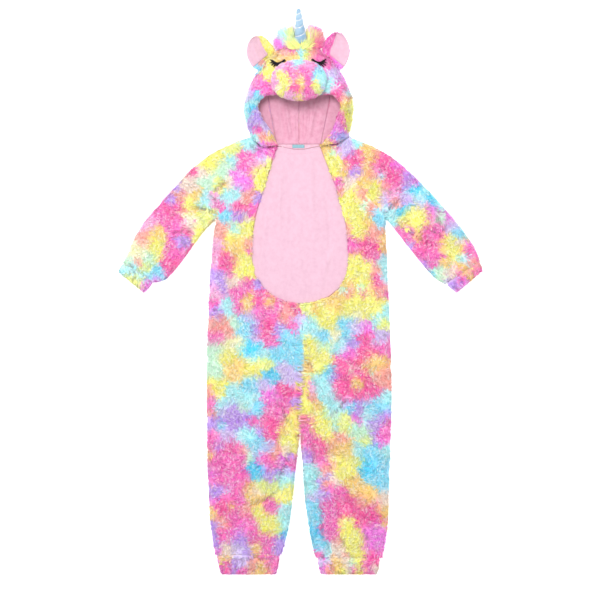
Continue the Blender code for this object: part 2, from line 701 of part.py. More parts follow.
def make_lining():
    """Lining of the hood: two back pieces, two sides, the neck facing and the label."""
    last = len(HOOD) - 1
    outside = HOOD_WALL + LINING_GAP
    inside = outside + LINING
    floor_out, floor_in = SEAM_Z + LAYER_GAP, SEAM_Z + LAYER_GAP + LINING
    for name, first, final in (("lining_side_left", 0, CENTRE_STATION),
                               ("lining_side_right", CENTRE_STATION, last)):
        outer, inner = [], []
        for at in range(first, final + 1):
            shift = np.array([0.0, 0.0])
            if at == CENTRE_STATION:
                shift[0] = -SEAM_GAP if first == 0 else SEAM_GAP
            seam = station(at)[2] + shift
            away = np.array(hood_rows(at, outside, shift))
            near = np.array(hood_rows(at, inside, shift))
            if at in NECK_BEND:
                away = drawn_on(away, at, outside)
                near = drawn_on(near, at, inside)
            away[0, 2], near[0, 2] = floor_out, floor_in
            toward = seam - near[0, :2]
            seam_end = seam - toward / np.linalg.norm(toward) * SEAM_GAP
            if at in NECK_BEND:
                seam_end[1] = seam[1]
            outer.append([(seam_end[0], seam_end[1], floor_out)] + [tuple(p) for p in away])
            inner.append([(seam_end[0], seam_end[1], floor_in)] + [tuple(p) for p in near])
        sheet(name, outer, inner, "lining_pink")
    for label, sign in (("left", 1), ("right", -1)):
        upper, lower = [], []
        for left_at in list(range(CENTRE_STATION)) + [BACK_STOP]:
            at = left_at if sign > 0 else last - left_at
            seam, opposite = station(at)[2], station(last - at)[2]
            start = seam + np.array([sign * SEAM_GAP * 1.5, 0.0])
            end = np.array([-2.5 - sign * SEAM_GAP, (seam[1] + opposite[1]) / 2])
            if left_at == BACK_STOP:
                start[1] -= 1.0
                end[1] -= 1.0
            row = [start + (end - start) * share for share in (0.0, 0.25, 0.5, 0.75, 1.0)]
            upper.append([(p[0], p[1], floor_in) for p in row])
            lower.append([(p[0], p[1], floor_out) for p in row])
        sheet("lining_back_" + label, upper, lower, "lining_pink")
    make_facing(floor_out)


def drawn_on(rows, at, inset):
    """The end rows of the lining, drawn on a little along the hood from the neck seam."""
    neighbour = at + 1 if at == 0 else at - 1
    run = np.array(hood_rows(neighbour, inset, (0.0, 0.0))) - rows
    return rows + run / np.linalg.norm(run, axis=1)[:, None] * NECK_CLEARANCE * 2


def make_facing(floor):
    """The strip of facing at the back of the neck and the label sewn on it."""
    left, right, top = -53.0, 47.0, HOOD[0][5] - 0.4
    upper, lower = [], []
    for share in (0.0, 1.0):
        out_row, in_row = [], []
        for across in np.linspace(0, 1, 9):
            x = left + (right - left) * across
            bottom = TUMMY_LEFT[0][1] + 0.5 - TUMMY_DIP * math.sin(math.pi * across) ** 1.5
            y = top + (bottom - top) * share
            out_row.append((x, y, floor + LINING))
            in_row.append((x, y, floor))
        upper.append(out_row)
        lower.append(in_row)
    sheet("neck_facing", upper, lower, "velour_pink")
    width, length, thick = LABEL_SIZE
    low = floor + LINING + 0.3
    label_top = top - 0.8
    rows = [(label_top, low), (label_top - length, low)]
    ends = (LABEL_CENTRE - width / 2, LABEL_CENTRE + width / 2)
    outer = [[(x, y, z + thick) for x in ends] for y, z in rows]
    inner = [[(x, y, z) for x in ends] for y, z in rows]
    sheet("neck_label", outer, inner, "label_grey")


def closed_rings(name, rings, colour, ends=(None, None)):
    """A closed form from rings of points, with a point or a flat face at each end."""
    count = len(rings[0])
    points = [p for ring in rings for p in ring]
    faces = grid_faces(len(rings), count, 0, True)
    for ring_index, end in ((0, ends[0]), (len(rings) - 1, ends[1])):
        base = ring_index * count
        centre = end if end is not None else np.mean(rings[ring_index], axis=0)
        points.append(tuple(centre))
        faces += [(base + k, base + (k + 1) % count, len(points) - 1) for k in range(count)]
    return add_mesh(name, points, faces, colour)


def make_muzzle():
    """The padded muzzle, a dome that lies on the face and reaches over the opening."""
    base = HOOD_TOP + 0.6
    lowest = math.sin(math.radians(MUZZLE_ANGLES[0]))
    rings = []
    for angle in MUZZLE_ANGLES:
        turn = math.radians(angle)
        spread = math.cos(turn)
        z = base + MUZZLE_HEIGHT * (math.sin(turn) - lowest) / (1 - lowest)
        ring = []
        for k in range(MUZZLE_SIDES):
            around = 2 * math.pi * k / MUZZLE_SIDES
            side = math.copysign(abs(math.cos(around)) ** MUZZLE_SQUARE, math.cos(around))
            up = math.copysign(abs(math.sin(around)) ** MUZZLE_SQUARE, math.sin(around))
            ring.append((MUZZLE_CENTRE[0] + MUZZLE_HALF_WIDTH * spread * side,
                         MUZZLE_CENTRE[1] + MUZZLE_HALF_LENGTH * spread * up, z))
        rings.append(ring)
    top = (MUZZLE_CENTRE[0], MUZZLE_CENTRE[1], base + MUZZLE_HEIGHT)
    closed_rings("muzzle", rings, "plush_pink", (None, top))


def make_horn():
    """The padded satin horn, drawn in by a cord that winds round it."""
    base, tip = np.array(HORN_BASE), np.array(HORN_TIP)
    axis = (tip - base) / np.linalg.norm(tip - base)
    side = np.cross(axis, (0, 0, 1))
    side /= np.linalg.norm(side)
    up = np.cross(side, axis)
    rings = []
    for k in range(HORN_RINGS + 1):
        share = k / HORN_RINGS
        radius = HORN_RADIUS + (HORN_TIP_RADIUS - HORN_RADIUS) * share ** 1.05
        ring = []
        for step in range(HORN_SIDES):
            angle = 2 * math.pi * step / HORN_SIDES
            turns = HORN_TURNS * share ** 0.9
            phase = (turns - angle / (2 * math.pi)) % 1.0
            off = min(phase, 1 - phase) / HORN_GROOVE_WIDTH
            here = radius * (1 - HORN_GROOVE * math.exp(-off * off) * (0 < k < HORN_RINGS))
            ring.append(tuple(base + axis * np.linalg.norm(tip - base) * share
                              + here * (side * math.cos(angle) + up * math.sin(angle))))
        rings.append(ring)
    closed_rings("horn", rings, "satin_blue", (None, tuple(tip + axis * 2.0)))


def make_mane(label, first, final, turn_first, turn_final, colour):
    """A tuft of the mane: locks on a narrow backing that stands on the crown of the hood."""
    cells = []
    points, faces = [], []

    def corner(column, row, depth):
        at = first + (final - first) * column / LOCK_COLUMNS
        outline = station(at)[0]
        before, after = station(at - 0.4)[0], station(at + 0.4)[0]
        run = (after - before) / np.linalg.norm(after - before)
        out = np.array([-run[1], run[0]])
        out = out if out[1] > 0 else -out
        spot = outline + out * (0.7 + depth)
        return (spot[0], spot[1], LOCK_FOOT + row * LOCK_HEIGHT)

    lock_rows = len(LOCK_RISES)
    rows_of_points, columns_of_points = lock_rows + 1, LOCK_COLUMNS + 1
    for depth in (0.0, BACKING):
        for row in range(rows_of_points):
            points += [corner(column, row, depth) for column in range(columns_of_points)]
    size = rows_of_points * columns_of_points
    faces += grid_faces(rows_of_points, columns_of_points, 0, False)
    for row in range(lock_rows):
        for column in range(LOCK_COLUMNS):
            a = size + row * columns_of_points + column
            cells.append((row, column, (a, a + 1, a + 1 + columns_of_points, a + columns_of_points)))
    rim = [(c, c + 1) for c in range(LOCK_COLUMNS)]
    rim += [(lock_rows * columns_of_points + a, lock_rows * columns_of_points + b) for a, b in rim]
    for column in (0, LOCK_COLUMNS):
        rim += [(r * columns_of_points + column, (r + 1) * columns_of_points + column)
                for r in range(lock_rows)]
    faces += [(a, b, b + size, a + size) for a, b in rim]
    for row, column, corners in cells:
        share = column / (LOCK_COLUMNS - 1)
        turn = math.radians(turn_first + (turn_final - turn_first) * share)
        rise = math.radians(LOCK_RISES[row])
        way = np.array([math.sin(turn) * math.cos(rise), math.cos(turn) * math.cos(rise),
                        math.sin(rise)])
        length = LOCK_LENGTHS[row] * LOCK_UNEVEN[column % 3]
        length *= 0.4 + 0.6 * float(quarter(share, 0.6))
        root = np.array([points[c] for c in corners])
        middle = root.mean(axis=0)
        previous = list(corners)
        for along, scale in LOCK_RINGS:
            ring = middle + (root - middle) * scale + way * length * along
            first_new = len(points)
            points += [tuple(p) for p in ring]
            new = [first_new + k for k in range(4)]
            faces += [(previous[k], previous[(k + 1) % 4], new[(k + 1) % 4], new[k])
                      for k in range(4)]
            previous = new
        faces.append(tuple(previous))
    add_mesh("mane_" + label, points, faces, colour)


def make_ear(label, plan):
    """An ear: plush behind, velour lining in front, folded along a crease."""
    first, final = plan["base"]
    base = []
    for at in np.linspace(first, final, 7):
        here, ahead, behind = station(at)[0], station(at + 0.3)[0], station(at - 0.3)[0]
        run = (ahead - behind) / np.linalg.norm(ahead - behind)
        out = np.array([-run[1], run[0]])
        out = out if out[1] > 0 else -out
        base.append(here + out * 0.9)
    base = np.array(base)
    outer_edge = walk(smooth_path([tuple(base[0])] + plan["outer"] + [plan["tip"][0]]),
                      (0.0, 0.12, 0.3, 0.5, 0.7, 0.88, 1.0))
    inner_edge = walk(smooth_path([tuple(base[-1])] + plan["inner"] + [plan["tip"][1]]),
                      (0.0, 0.15, 0.34, 0.54, 0.74, 0.9, 1.0))
    across = (0.0, 0.05, 0.25, 0.45, 0.58, 0.68, 0.78, 0.95, 1.0)
    plush_out, plush_in, velour_out, velour_in = [], [], [], []
    for k, (start, end) in enumerate(zip(outer_edge, inner_edge)):
        rise = 12.0 + 9.0 * (k / 6)
        rows = [[], [], [], []]
        bow = walk(base, across) - (base[0] + (base[-1] - base[0]) * np.array(across)[:, None])
        for j, share in enumerate(across):
            x, y = start + (end - start) * share + bow[j] * max(0.0, 1 - k / 2)
            cup = 9.0 * (2 * share - 1) ** 2 - 4.0 * math.exp(-((share - 0.58) / 0.1) ** 2)
            soft = EAR_PLUSH * (0.45 + 0.55 * quarter(min(share, 1 - share), 0.12))
            low = rise + cup
            strip = 3.2 if share > 0.7 else 0.0
            rows[0].append((x, y, low + soft + strip))
            rows[1].append((x, y, low))
            rows[2].append((x, y, low + soft + 0.3 + EAR_LINING))
            rows[3].append((x, y, low + soft + 0.3))
        plush_out.append(rows[0])
        plush_in.append(rows[1])
        if k > 0:
            velour_out.append(rows[2][:6])
            velour_in.append(rows[3][:6])
    sheet("ear_" + label, plush_out, plush_in, "plush_pink")
    sheet("ear_lining_" + label, velour_out, velour_in, "velour_pink")


def make_lashes(label, lid, tips, surface):
    """A closed eye: a lid line with lashes drawn out of its outer end, on the face of the hood."""
    path = walk(smooth_path(lid), LID_SHARES)
    upper = moved_aside(path, LID_HALF_WIDTH)
    lower = moved_aside(path, -LID_HALF_WIDTH)
    if upper[3][1] < lower[3][1]:
        upper, lower = lower, upper
    points, faces = [], []

    def corner(spot):
        """The top and the bottom point of the lash over a spot of the face."""
        foot = surface(spot[0], spot[1]) + LASH_LIFT
        points.append((spot[0], spot[1], foot + LASH_WALL))
        points.append((spot[0], spot[1], foot))
        return len(points) - 2

    above = [corner(spot) for spot in upper]
    below = [corner(spot) for spot in lower]
    for k in range(len(path) - 1):
        for side in (0, 1):
            faces.append((above[k] + side, above[k + 1] + side, below[k + 1] + side,
                          below[k] + side))
        faces.append((above[k], above[k + 1], above[k + 1] + 1, above[k] + 1))
    faces.append((above[0], below[0], below[0] + 1, above[0] + 1))
    roots = [(below[k], below[k + 1]) for k in range(len(path) - 1)] + [(below[-1], above[-1])]
    plain = len(roots) - len(tips)
    for first, second in roots[:plain]:
        faces.append((first, second, second + 1, first + 1))
    for (first, second), tip in zip(roots[plain:], tips):
        run = np.array(points[second][:2]) - np.array(points[first][:2])
        run *= LASH_TIP / np.linalg.norm(run) / 2
        near, far = corner(np.array(tip, float) - run), corner(np.array(tip, float) + run)
        faces += [(first, second, far, near), (first + 1, second + 1, far + 1, near + 1),
                  (first, near, near + 1, first + 1), (second, far, far + 1, second + 1),
                  (near, far, far + 1, near + 1)]
    add_mesh("eyelash_" + label, points, faces, "thread_black")


def face_surface():
    """Finds the height of the hood's face at a point, in millimetres."""
    trees = []
    for name in ("hood_face", "hood_side_left", "hood_side_right"):
        work = bmesh.new()
        work.from_mesh(bpy.data.objects[name].data)
        trees.append(BVHTree.FromBMesh(work))
        work.free()

    def height(x, y):
        found = [HOOD_BULGE]
        for step_x, step_y in ((0, 0), (10, 0), (-10, 0), (0, 10), (0, -10)):
            start = ((x + step_x) * MM, (y + step_y) * MM, 1.0)
            hits = [tree.ray_cast(start, (0, 0, -1))[0] for tree in trees]
            found += [hit[2] / MM for hit in hits if hit]
        return max(found)
    return height


def settle():
    """Moves the whole costume so that the middle of its box is over the origin."""
    parts = [item for item in bpy.data.objects if item.type == "MESH"]
    corners = np.array([v.co for item in parts for v in item.data.vertices])
    low, high = corners.min(axis=0), corners.max(axis=0)
    shift = np.array([(low[0] + high[0]) / 2, (low[1] + high[1]) / 2, low[2]])
    for item in parts:
        for vertex in item.data.vertices:
            vertex.co = [float(c - s) for c, s in zip(vertex.co, shift)]


def main():
    clear_scene()
    make_body()
    make_sleeve("left", RAGLAN_LEFT, SHOULDER_LEFT, UNDERARM_LEFT, 1)
    make_sleeve("right", RAGLAN_RIGHT, SHOULDER_RIGHT, UNDERARM_RIGHT, -1)
    for name, values in CUFFS.items():
        make_cuff(name, *values)
    make_hood()
    make_lining()
    make_muzzle()
    make_horn()
    make_mane("left", 7.35, 8.45, -20, -4, "plush_aqua")
    make_mane("right", 10.65, 9.6, 14, 4, "plush_yellow")
    for label, plan in EARS.items():
        make_ear(label, plan)
    surface = face_surface()
    for label, (lid, tips) in LASHES.items():
        make_lashes(label, lid, tips, surface)
    settle()


main()
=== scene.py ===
"""Looks of the laid-out plush costume: dyed pile on every plush panel, velour, linings, horn and trims.

Lengths are in metres. Chart units are steps of 2.4 mm, counted from the upper left of the lay.
"""
import math
import re

import bmesh
import bpy
import numpy as np
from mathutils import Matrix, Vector
from mathutils.bvhtree import BVHTree
from mathutils.kdtree import KDTree


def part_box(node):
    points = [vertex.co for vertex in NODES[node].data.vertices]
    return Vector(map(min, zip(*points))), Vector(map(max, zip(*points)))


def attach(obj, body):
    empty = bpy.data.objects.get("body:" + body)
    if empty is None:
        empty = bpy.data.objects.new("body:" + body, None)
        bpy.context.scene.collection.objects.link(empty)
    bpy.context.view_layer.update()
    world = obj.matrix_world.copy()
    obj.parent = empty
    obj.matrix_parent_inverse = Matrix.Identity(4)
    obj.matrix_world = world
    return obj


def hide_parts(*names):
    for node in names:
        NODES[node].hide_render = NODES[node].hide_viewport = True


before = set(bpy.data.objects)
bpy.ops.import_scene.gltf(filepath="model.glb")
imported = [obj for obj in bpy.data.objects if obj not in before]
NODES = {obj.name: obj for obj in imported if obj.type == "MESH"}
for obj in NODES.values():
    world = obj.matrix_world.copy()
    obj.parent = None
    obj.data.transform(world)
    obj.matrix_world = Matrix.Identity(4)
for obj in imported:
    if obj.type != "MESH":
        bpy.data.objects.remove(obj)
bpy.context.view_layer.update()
MM = 0.001
CHART = 0.0024
CHART_X = 301.0       # chart column over the frame's origin
CHART_Y = 291.9       # chart row over the frame's origin
RANDOM = np.random.default_rng(4471)

PILE_DEPTH = 5.0 * MM         # how far the backing lies under the tips
PILE_UNDER = 3.0 * MM         # the same, where the costume lies on the floor
TUFT_SPACING = 11.0 * MM
LOCK_SPACING = 4.6 * MM       # small locks inside a tuft
BLADE_REACH = (4.0 * MM, 13.0 * MM)
BLADE_WIDTH = (1.0 * MM, 2.0 * MM)
TUFT_SWIRL = 34.0 * MM        # size of the areas in which the tufts lean alike
LOCK_REACH = 9.0 * MM         # how far from its foot the blades of a lock meet
SEAM_OVERLAP = 2.6 * MM       # how far pile lies over the edge of the next piece
SEAM_REACH = 6.0 * MM         # how near that edge pile starts to do so
INSEAM_REACH = 23.0 * MM      # the same between the legs, which touch below the crotch
FLOOR_CLEAR = 0.2 * MM        # the lowest that a blade lies
BACKING_EDGE = 18.0 * MM      # longest edge in a backing, and in an ear's
EAR_EDGE = 6.0 * MM
EAR_ROUNDS = 24               # rounds of evening out for the ears
SMALLEST_FLAT = 10.1 * MM     # the least side of a sheet's flat size
BLADES_SHOWN = 0.39           # blades for each square millimetre that shows
BLADES_UNDER = 0.06           # the same on the underside

BODY_PLUSH = ["front_left", "front_right", "back_left", "back_right", "sleeve_left", "sleeve_right",
              "cuff_wrist_left", "cuff_wrist_right", "cuff_ankle_left", "cuff_ankle_right"]
HOOD_PLUSH = ["hood_side_left", "hood_side_right", "hood_face", "hood_back_left", "hood_back_right",
              "ear_left", "ear_right", "muzzle"]

# Dye colours, as they look on screen
DYES = {
    "P": (255, 104, 184), "R": (255, 84, 156), "M": (240, 120, 220), "B": (255, 172, 218),
    "U": (186, 146, 230), "L": (214, 194, 244), "S": (134, 218, 252), "D": (78, 204, 255),
    "A": (176, 240, 246), "G": (204, 246, 216), "K": (234, 244, 140), "Y": (255, 241, 118),
    "E": (252, 247, 198), "O": (255, 204, 118), "C": (255, 160, 150), "W": (250, 224, 208),
}

PALER = 0.16          # share of white that the washed-out pile adds to its dye

# Dye patches: colour, column, row and radius in chart units
BODY_DYE = """
A248,141,7 K233,148,6 A231,158,5 Y212,161,8 G222,170,7 P247,160,8 M241,176,7 B258,164,5 L263,157,3
R192,173,4 W203,173,5 G208,181,6 W188,183,7 U177,188,4 K218,184,5 O223,184,2 M245,184,5 W230,183,4
A234,194,8 B214,201,5 P221,205,4 A205,201,6 O194,195,5 Y193,205,6 O196,211,3 K207,215,7 C178,195,5
U171,201,4 R170,211,8 P161,214,7 C184,211,4 E193,218,5 P176,225,7 W190,226,6 B147,222,7 R187,231,4
Y199,236,6 O158,234,6 Y156,242,7 C142,240,6 U183,241,5 R191,247,3 P174,252,8 R173,263,7 Y161,252,6
G150,257,6 E137,250,8 G127,260,5 C138,260,4 A133,268,5 A121,270,5 K148,267,5 A143,275,5 K134,280,7
S158,273,7 M157,281,5 M149,289,6 P172,272,4
M262,150,5 P271,152,6 L262,160,4 Y265,174,9 K268,164,4 C250,197,6 U258,199,4 R240,205,6 P254,209,4
U240,215,6 S226,216,6 G233,220,3 W247,218,4 Y246,228,8 A236,229,4 C222,230,7 Y232,237,5 B216,244,6
O234,246,8 C249,242,5 P249,250,3 Y245,264,10 R227,262,8 B215,262,5 U220,280,8 P231,271,4 W234,280,6
P247,283,5 U257,286,4 P240,291,6 O247,298,5 R260,298,6 O268,303,5 B214,292,7
P214,303,5 U216,312,6 A228,306,6 P238,306,5 O247,303,5 P260,309,7 P275,311,8 C286,313,7 R294,309,5
C217,324,8 P216,336,7 C229,331,5 G236,323,5 S245,325,8 L252,314,6 U256,328,6 L256,338,5 R267,330,8
P274,341,5 U280,330,5 P292,326,5 L299,320,5 S288,336,7 E234,343,7 G216,348,9 Y228,353,8 G242,346,5
D252,350,7 A262,353,5 A251,360,5 O236,370,9 Y250,368,7 G218,371,6 Y218,386,8 C210,388,5 A233,391,7
K267,362,5 S278,352,6 S293,350,9 L286,368,6 D271,375,6 L265,383,7 S251,384,7 M272,396,7 A248,399,8
L292,378,5 R286,390,6 P211,402,6 A222,404,6 G244,406,5 S257,408,6 P278,409,12 U295,402,3 Y294,420,9
O284,430,5 R271,426,8 U236,418,12 L225,408,5 P254,421,4 C212,412,4 U213,423,5 S221,425,4 U259,429,5
A248,433,6
K306,308,5 O316,308,4 Y326,315,9 O333,305,6 Y350,306,9 Y372,305,9 A386,311,5 E358,312,4 A312,327,8
S323,333,5 E338,333,6 S347,322,7 S347,334,6 L357,326,6 M366,327,5 A376,318,5 K383,323,4 R364,336,5
L379,337,6 U354,342,6 A342,346,6 Y312,348,8 G322,346,5 Y326,356,7 A335,352,4 O310,365,5 K319,368,5
S329,372,6 U334,375,5 M347,354,6 R366,352,9 P381,347,7 R345,365,9 O373,362,9 R362,372,6 C382,378,8
O358,382,5 R343,386,10 R372,390,8 A373,371,2 W353,369,4
Y304,385,4 B311,386,4 A323,381,6 C312,396,4 A329,393,7 Y307,407,7 A334,406,7 K326,409,3 O317,404,4
L346,401,4 S351,406,4 U359,408,6 S375,404,8 A385,399,5 L370,397,4 A368,415,6
P305,425,8 C312,421,4 Y323,426,8 G335,415,5 K345,422,7 A333,427,4 M357,418,4 G360,430,8 A355,425,3
U377,424,9 P387,425,5 P382,434,5 C340,437,6
P212,442,8 O210,452,4 P215,462,7 M212,471,5 U220,445,5 L229,436,6 A245,436,7 S257,444,8 L267,446,6
R271,436,6 Y291,438,10 W285,448,4 C276,449,4 R229,447,7 P234,459,12 C247,450,5 G251,458,5 D258,469,8
P224,475,9 P240,480,9 O249,486,6 L228,488,4 U218,491,6 P235,495,8 M213,500,5 R224,505,7 O231,505,3
O212,511,4 P267,461,7 C274,455,4 M282,459,4 U289,457,3 P292,463,5 U269,472,6 U287,472,5 A285,480,7
K262,483,6 K275,486,6 Y289,491,7 W257,490,5 O256,499,7 C246,510,6 Y259,509,6 P271,506,6 A286,513,7
Y270,521,10 A286,524,6 K280,529,4 P237,518,9 U214,526,5 C223,522,5 P249,524,8 M240,529,6 P224,534,6
U215,540,5 U242,538,7 L238,547,6 P253,538,5 W227,548,6 U248,551,4 M218,550,4 O256,546,6 P267,540,7
U279,543,7 D286,535,4 P266,551,6 O226,556,4
R227,566,5 M221,568,4 U235,566,5 L244,560,5 P243,568,4 C254,564,5 O263,566,6 P273,565,6 M277,570,3
Y224,561,2
P306,438,7 U309,453,7 R319,447,8 P322,461,6 C330,447,6 Y328,434,5 O341,449,10 Y346,464,10 C331,466,4
A357,446,6 K363,439,5 K357,462,5 S372,452,8 D370,468,8 S381,462,7 S377,479,8 A386,451,5 M381,440,4
U375,442,3 A311,472,9 A311,486,8 L313,496,4 C327,472,5 U330,476,4 U321,482,4 C328,484,4 U326,494,5
W336,482,4 O354,483,8 O366,493,8 P338,494,8 R347,504,9 P328,505,7 W384,498,6 O383,509,5 C360,500,6
R369,512,10 S313,507,7 S316,518,6 P332,513,6 Y348,524,6 Y353,538,9 Y358,551,7 P330,528,9 C338,541,5
M375,532,9 O384,524,3 M376,544,9 R376,553,6 D319,531,6 S322,542,7 P319,553,4 A326,551,4 W339,549,7
C346,552,3
L324,562,4 M321,569,4 C330,567,4 O337,565,5 W346,565,5 G352,563,4 P355,568,3 Y361,565,5 P369,566,5
W377,566,4 Y342,569,4
O325,148,5 G332,151,3 Y334,163,8 O343,170,5 W350,181,6 P338,184,4 C341,191,4 Y350,197,8 C361,194,5
G366,206,4 C372,210,4 Y355,214,10 S380,218,6 O366,221,5 C346,229,5 Y361,229,7 C372,233,7 O383,238,4
P350,245,7 R370,248,9 O383,247,3 Y358,265,12 P372,257,5 A384,262,6 A385,275,5 C376,270,4 R378,279,5
Y360,280,8 O351,284,5 C350,292,5 G345,288,3 A362,287,3 P365,294,3 C379,292,6 P387,293,3 Y369,297,6
O339,300,6 Y358,301,6
L346,146,7 S341,139,4 P337,146,3 U350,151,4 A357,143,4 O370,151,8 C379,150,5 R355,159,8 U356,171,6
C347,166,4 O366,165,6 C371,173,4 O365,180,6 R383,163,9 M396,164,5 A382,175,3 L379,170,3 Y375,190,7
C386,187,5 R394,177,9 P394,185,5 U408,178,7 M415,181,4 D417,190,6 A426,188,6 D431,199,6 A419,198,6
L408,195,6 B394,193,6 U405,201,5 C397,202,4 L387,202,6 O379,203,4 D400,212,4 A391,214,7 S407,206,4
A440,201,7 K405,215,4 Y418,217,10 O407,223,4 M430,210,6 P433,217,4 G439,217,5 L420,204,5 M448,216,5
L452,225,6 S459,232,5 L459,240,4 P408,235,7 O419,238,4 U412,245,3 P434,231,8 R428,243,8 P432,254,9
U425,264,4 S434,274,3 G441,270,6 W448,272,6 O447,262,4 Y453,245,10 O443,247,4 Y456,254,5 A464,259,4
P471,250,7 M469,242,3 C472,265,6 O463,268,4 P477,270,4 O472,274,3 U454,283,5 P458,275,4 M459,288,5
G441,281,4 M466,283,3
"""
HOOD_DYE = """
O276,58,4 Y271,60,4 C263,62,4 Y267,75,5 P255,81,5 M252,89,4 P266,87,5 S257,95,4 L249,95,4 A252,104,4
D251,108,3 A246,118,4 U258,118,5 U251,125,4 L266,126,5 P259,129,4 C262,134,4 O271,137,4 P273,145,4
A252,138,3 P291,50,4 C286,55,4 O293,60,4 A301,55,3 K308,53,3 K306,60,4 C314,54,4 P319,57,4 P324,62,4
P328,67,4 L334,77,5 L337,71,4 M341,79,4 A332,86,4 A347,92,3 P343,89,4 R337,96,4 C343,99,4 O345,104,4
Y347,110,4 K352,106,3 Y350,118,4 P341,119,5 M338,127,5 Y349,123,3 U341,137,4 P338,143,4 Y270,47,4
S256,68,5 P325,50,5 M342,66,5
"""
MUZZLE_DYE = """
A300,62,4 L292,64,3 B281,66,4 P289,69,3 B310,65,4 P306,72,4 P315,70,3 Y283,79,4 Y287,85,4 E281,88,3
B273,79,2.5 B274,87,3 P293,77,4 C300,79,3 R296,90,3 O302,86,4 Y302,86,2 P310,84,4 P308,92,4 O298,97,3
B290,96,4 Y283,93,3 S319,73,3.5 A323,79,3 S316,78,2.5 Y317,85,3 A324,85,3 K318,91,3 P312,97,3 L325,90,2
"""
MANE_DYE = """
K297,45,4 K304,45,4 Y309,43,3 G293,40,3 A282,33,4 G289,43,3 K291,38,3 L291,28,4 M281,46,3 L276,42,3
Y296,41,3 B310,32,3 P316,33,3 K312,41,3 C317,43,3 R316,47,4
"""

# Creases in the pile: columns and rows of both ends, how far the middle bows, half width and depth
CREASES = [
    (213, 191, 224, 181, 1.0, 2.2, 1.0), (195, 208, 216, 215, -1.5, 2.4, 1.0),
    (212, 196, 217, 200, 0.0, 1.8, 1.0), (176, 232, 194, 229, 1.5, 2.4, 0.9),
    (178, 238, 188, 247, 0.0, 2.2, 0.6), (250, 146, 259, 152, -1.0, 1.8, 0.8),
    (385, 214, 400, 199, -1.0, 2.2, 1.0), (399, 224, 427, 241, 1.5, 2.4, 1.0),
    (426, 229, 440, 237, -3.0, 2.2, 0.8), (440, 237, 446, 222, 1.5, 2.2, 0.9),
    (421, 257, 431, 262, 0.5, 2.2, 0.7), (437, 213, 441, 225, 0.0, 2.2, 0.9),
    (391, 192, 403, 189, 1.0, 2.0, 0.7), (372, 168, 386, 169, 1.5, 2.0, 0.6),
    (277, 404, 291, 423, -1.0, 2.4, 1.0), (290, 452, 280, 480, 1.0, 2.6, 1.0),
    (250, 504, 276, 492, 1.5, 2.4, 0.7), (350, 395, 332, 414, -1.5, 2.4, 0.9),
    (306, 357, 316, 374, -1.5, 2.0, 0.9), (303, 341, 307, 359, 0.0, 2.0, 0.9),
    (314, 378, 321, 388, 0.0, 2.0, 0.6), (313, 430, 318.5, 500, 0.5, 1.6, 0.6),
    (318.5, 500, 330, 558, 1.0, 1.6, 0.6), (228, 432, 240, 445, 1.0, 2.0, 0.4),
    (345, 235, 356, 243, 1.0, 2.0, 0.4), (222, 268, 236, 262, 1.0, 2.0, 0.4),
    (340, 536, 348, 548, 0.0, 2.0, 0.5), (366, 526, 368, 545, 0.0, 2.0, 0.4),
    (220, 557, 279, 557, 0.6, 1.6, 0.7), (319, 557.5, 380, 558, -0.6, 1.6, 0.7),
    (123, 262, 155, 283, 0.5, 1.6, 0.7), (480, 261, 445, 284, 0.5, 1.6, 0.7),
]
# Gathers across the cuffs of the ankles, then of the wrists
for k in range(9):
    wander = 0.8 * math.sin(2.3 * k)
    CREASES.append((225 + 6.4 * k, 560, 224 + 6.4 * k + wander, 571, wander, 1.2, 0.5 - 0.1 * wander))
    CREASES.append((324 + 6.6 * k, 561, 325 + 6.6 * k - wander, 572, wander, 1.2, 0.5 + 0.1 * wander))
for k in range(5):
    wander = 0.8 * math.sin(1.9 * k + 1)
    CREASES.append((125 + 6 * k, 266 + 4 * k, 120 + 6 * k, 274 + 4 * k + wander, wander, 1.2, 0.5))
    CREASES.append((477 - 6 * k, 266 + 4 * k, 482 - 6 * k, 274 + 4 * k - wander, wander, 1.2, 0.5))
# The pile's colours are darkened in the creases as painted shade.
CREASE_SHADE = np.array([0.1, 0.27, 0.2])     # how far a full crease dims red, green and blue


def chart_points(points):
    """Columns and rows on the chart of points in the frame."""
    return np.stack([points[:, 0] / CHART + CHART_X, CHART_Y - points[:, 1] / CHART], axis=1)


def linear(colour):
    """Scene values of colours that are written as they look on screen, 0 to 1."""
    colour = np.clip(np.asarray(colour, float), 0, 1)
    return np.where(colour <= 0.04045, colour / 12.92, ((colour + 0.055) / 1.055) ** 2.4)


def read_dye(text):
    rows = re.findall(r"([A-Z])([\d.]+),([\d.]+),([\d.]+)", text)
    places = np.array([[float(v) for v in row[1:]] for row in rows])
    colours = np.array([DYES[row[0]] for row in rows]) / 255.0
    return places, colours + (1 - colours) * PALER


DYE_SETS = {
    "body": read_dye(BODY_DYE),
    "hood": read_dye(HOOD_DYE + BODY_DYE),
    "muzzle": read_dye(MUZZLE_DYE),
    "mane": read_dye(MANE_DYE),
}


def lattice(cells, seed):
    """A fixed random value, 0 to 1, for each whole-number cell."""
    cells = cells.astype(np.int64)
    mixed = cells[:, 0] * 73856093 ^ cells[:, 1] * 19349663 ^ cells[:, 2] * 83492791 ^ seed * 2654435761
    mixed = (mixed ^ (mixed >> 13)) * 1274126177 & 0xFFFFFFFF
    mixed = (mixed ^ (mixed >> 16)) * 2246822519 & 0xFFFFFFFF
    return (mixed >> 8) / float(1 << 24)


def noise(points, size, seed):
    """Smooth noise from -1 to 1 with features of that size."""
    scaled = points / size
    base = np.floor(scaled)
    part = scaled - base
    part = part * part * (3 - 2 * part)
    total = np.zeros(len(points))
    for dx in (0, 1):
        for dy in (0, 1):
            for dz in (0, 1):
                weight = (np.abs(1 - dx - part[:, 0]) * np.abs(1 - dy - part[:, 1])
                          * np.abs(1 - dz - part[:, 2]))
                total += weight * lattice(base + (dx, dy, dz), seed)
    return 2 * total - 1


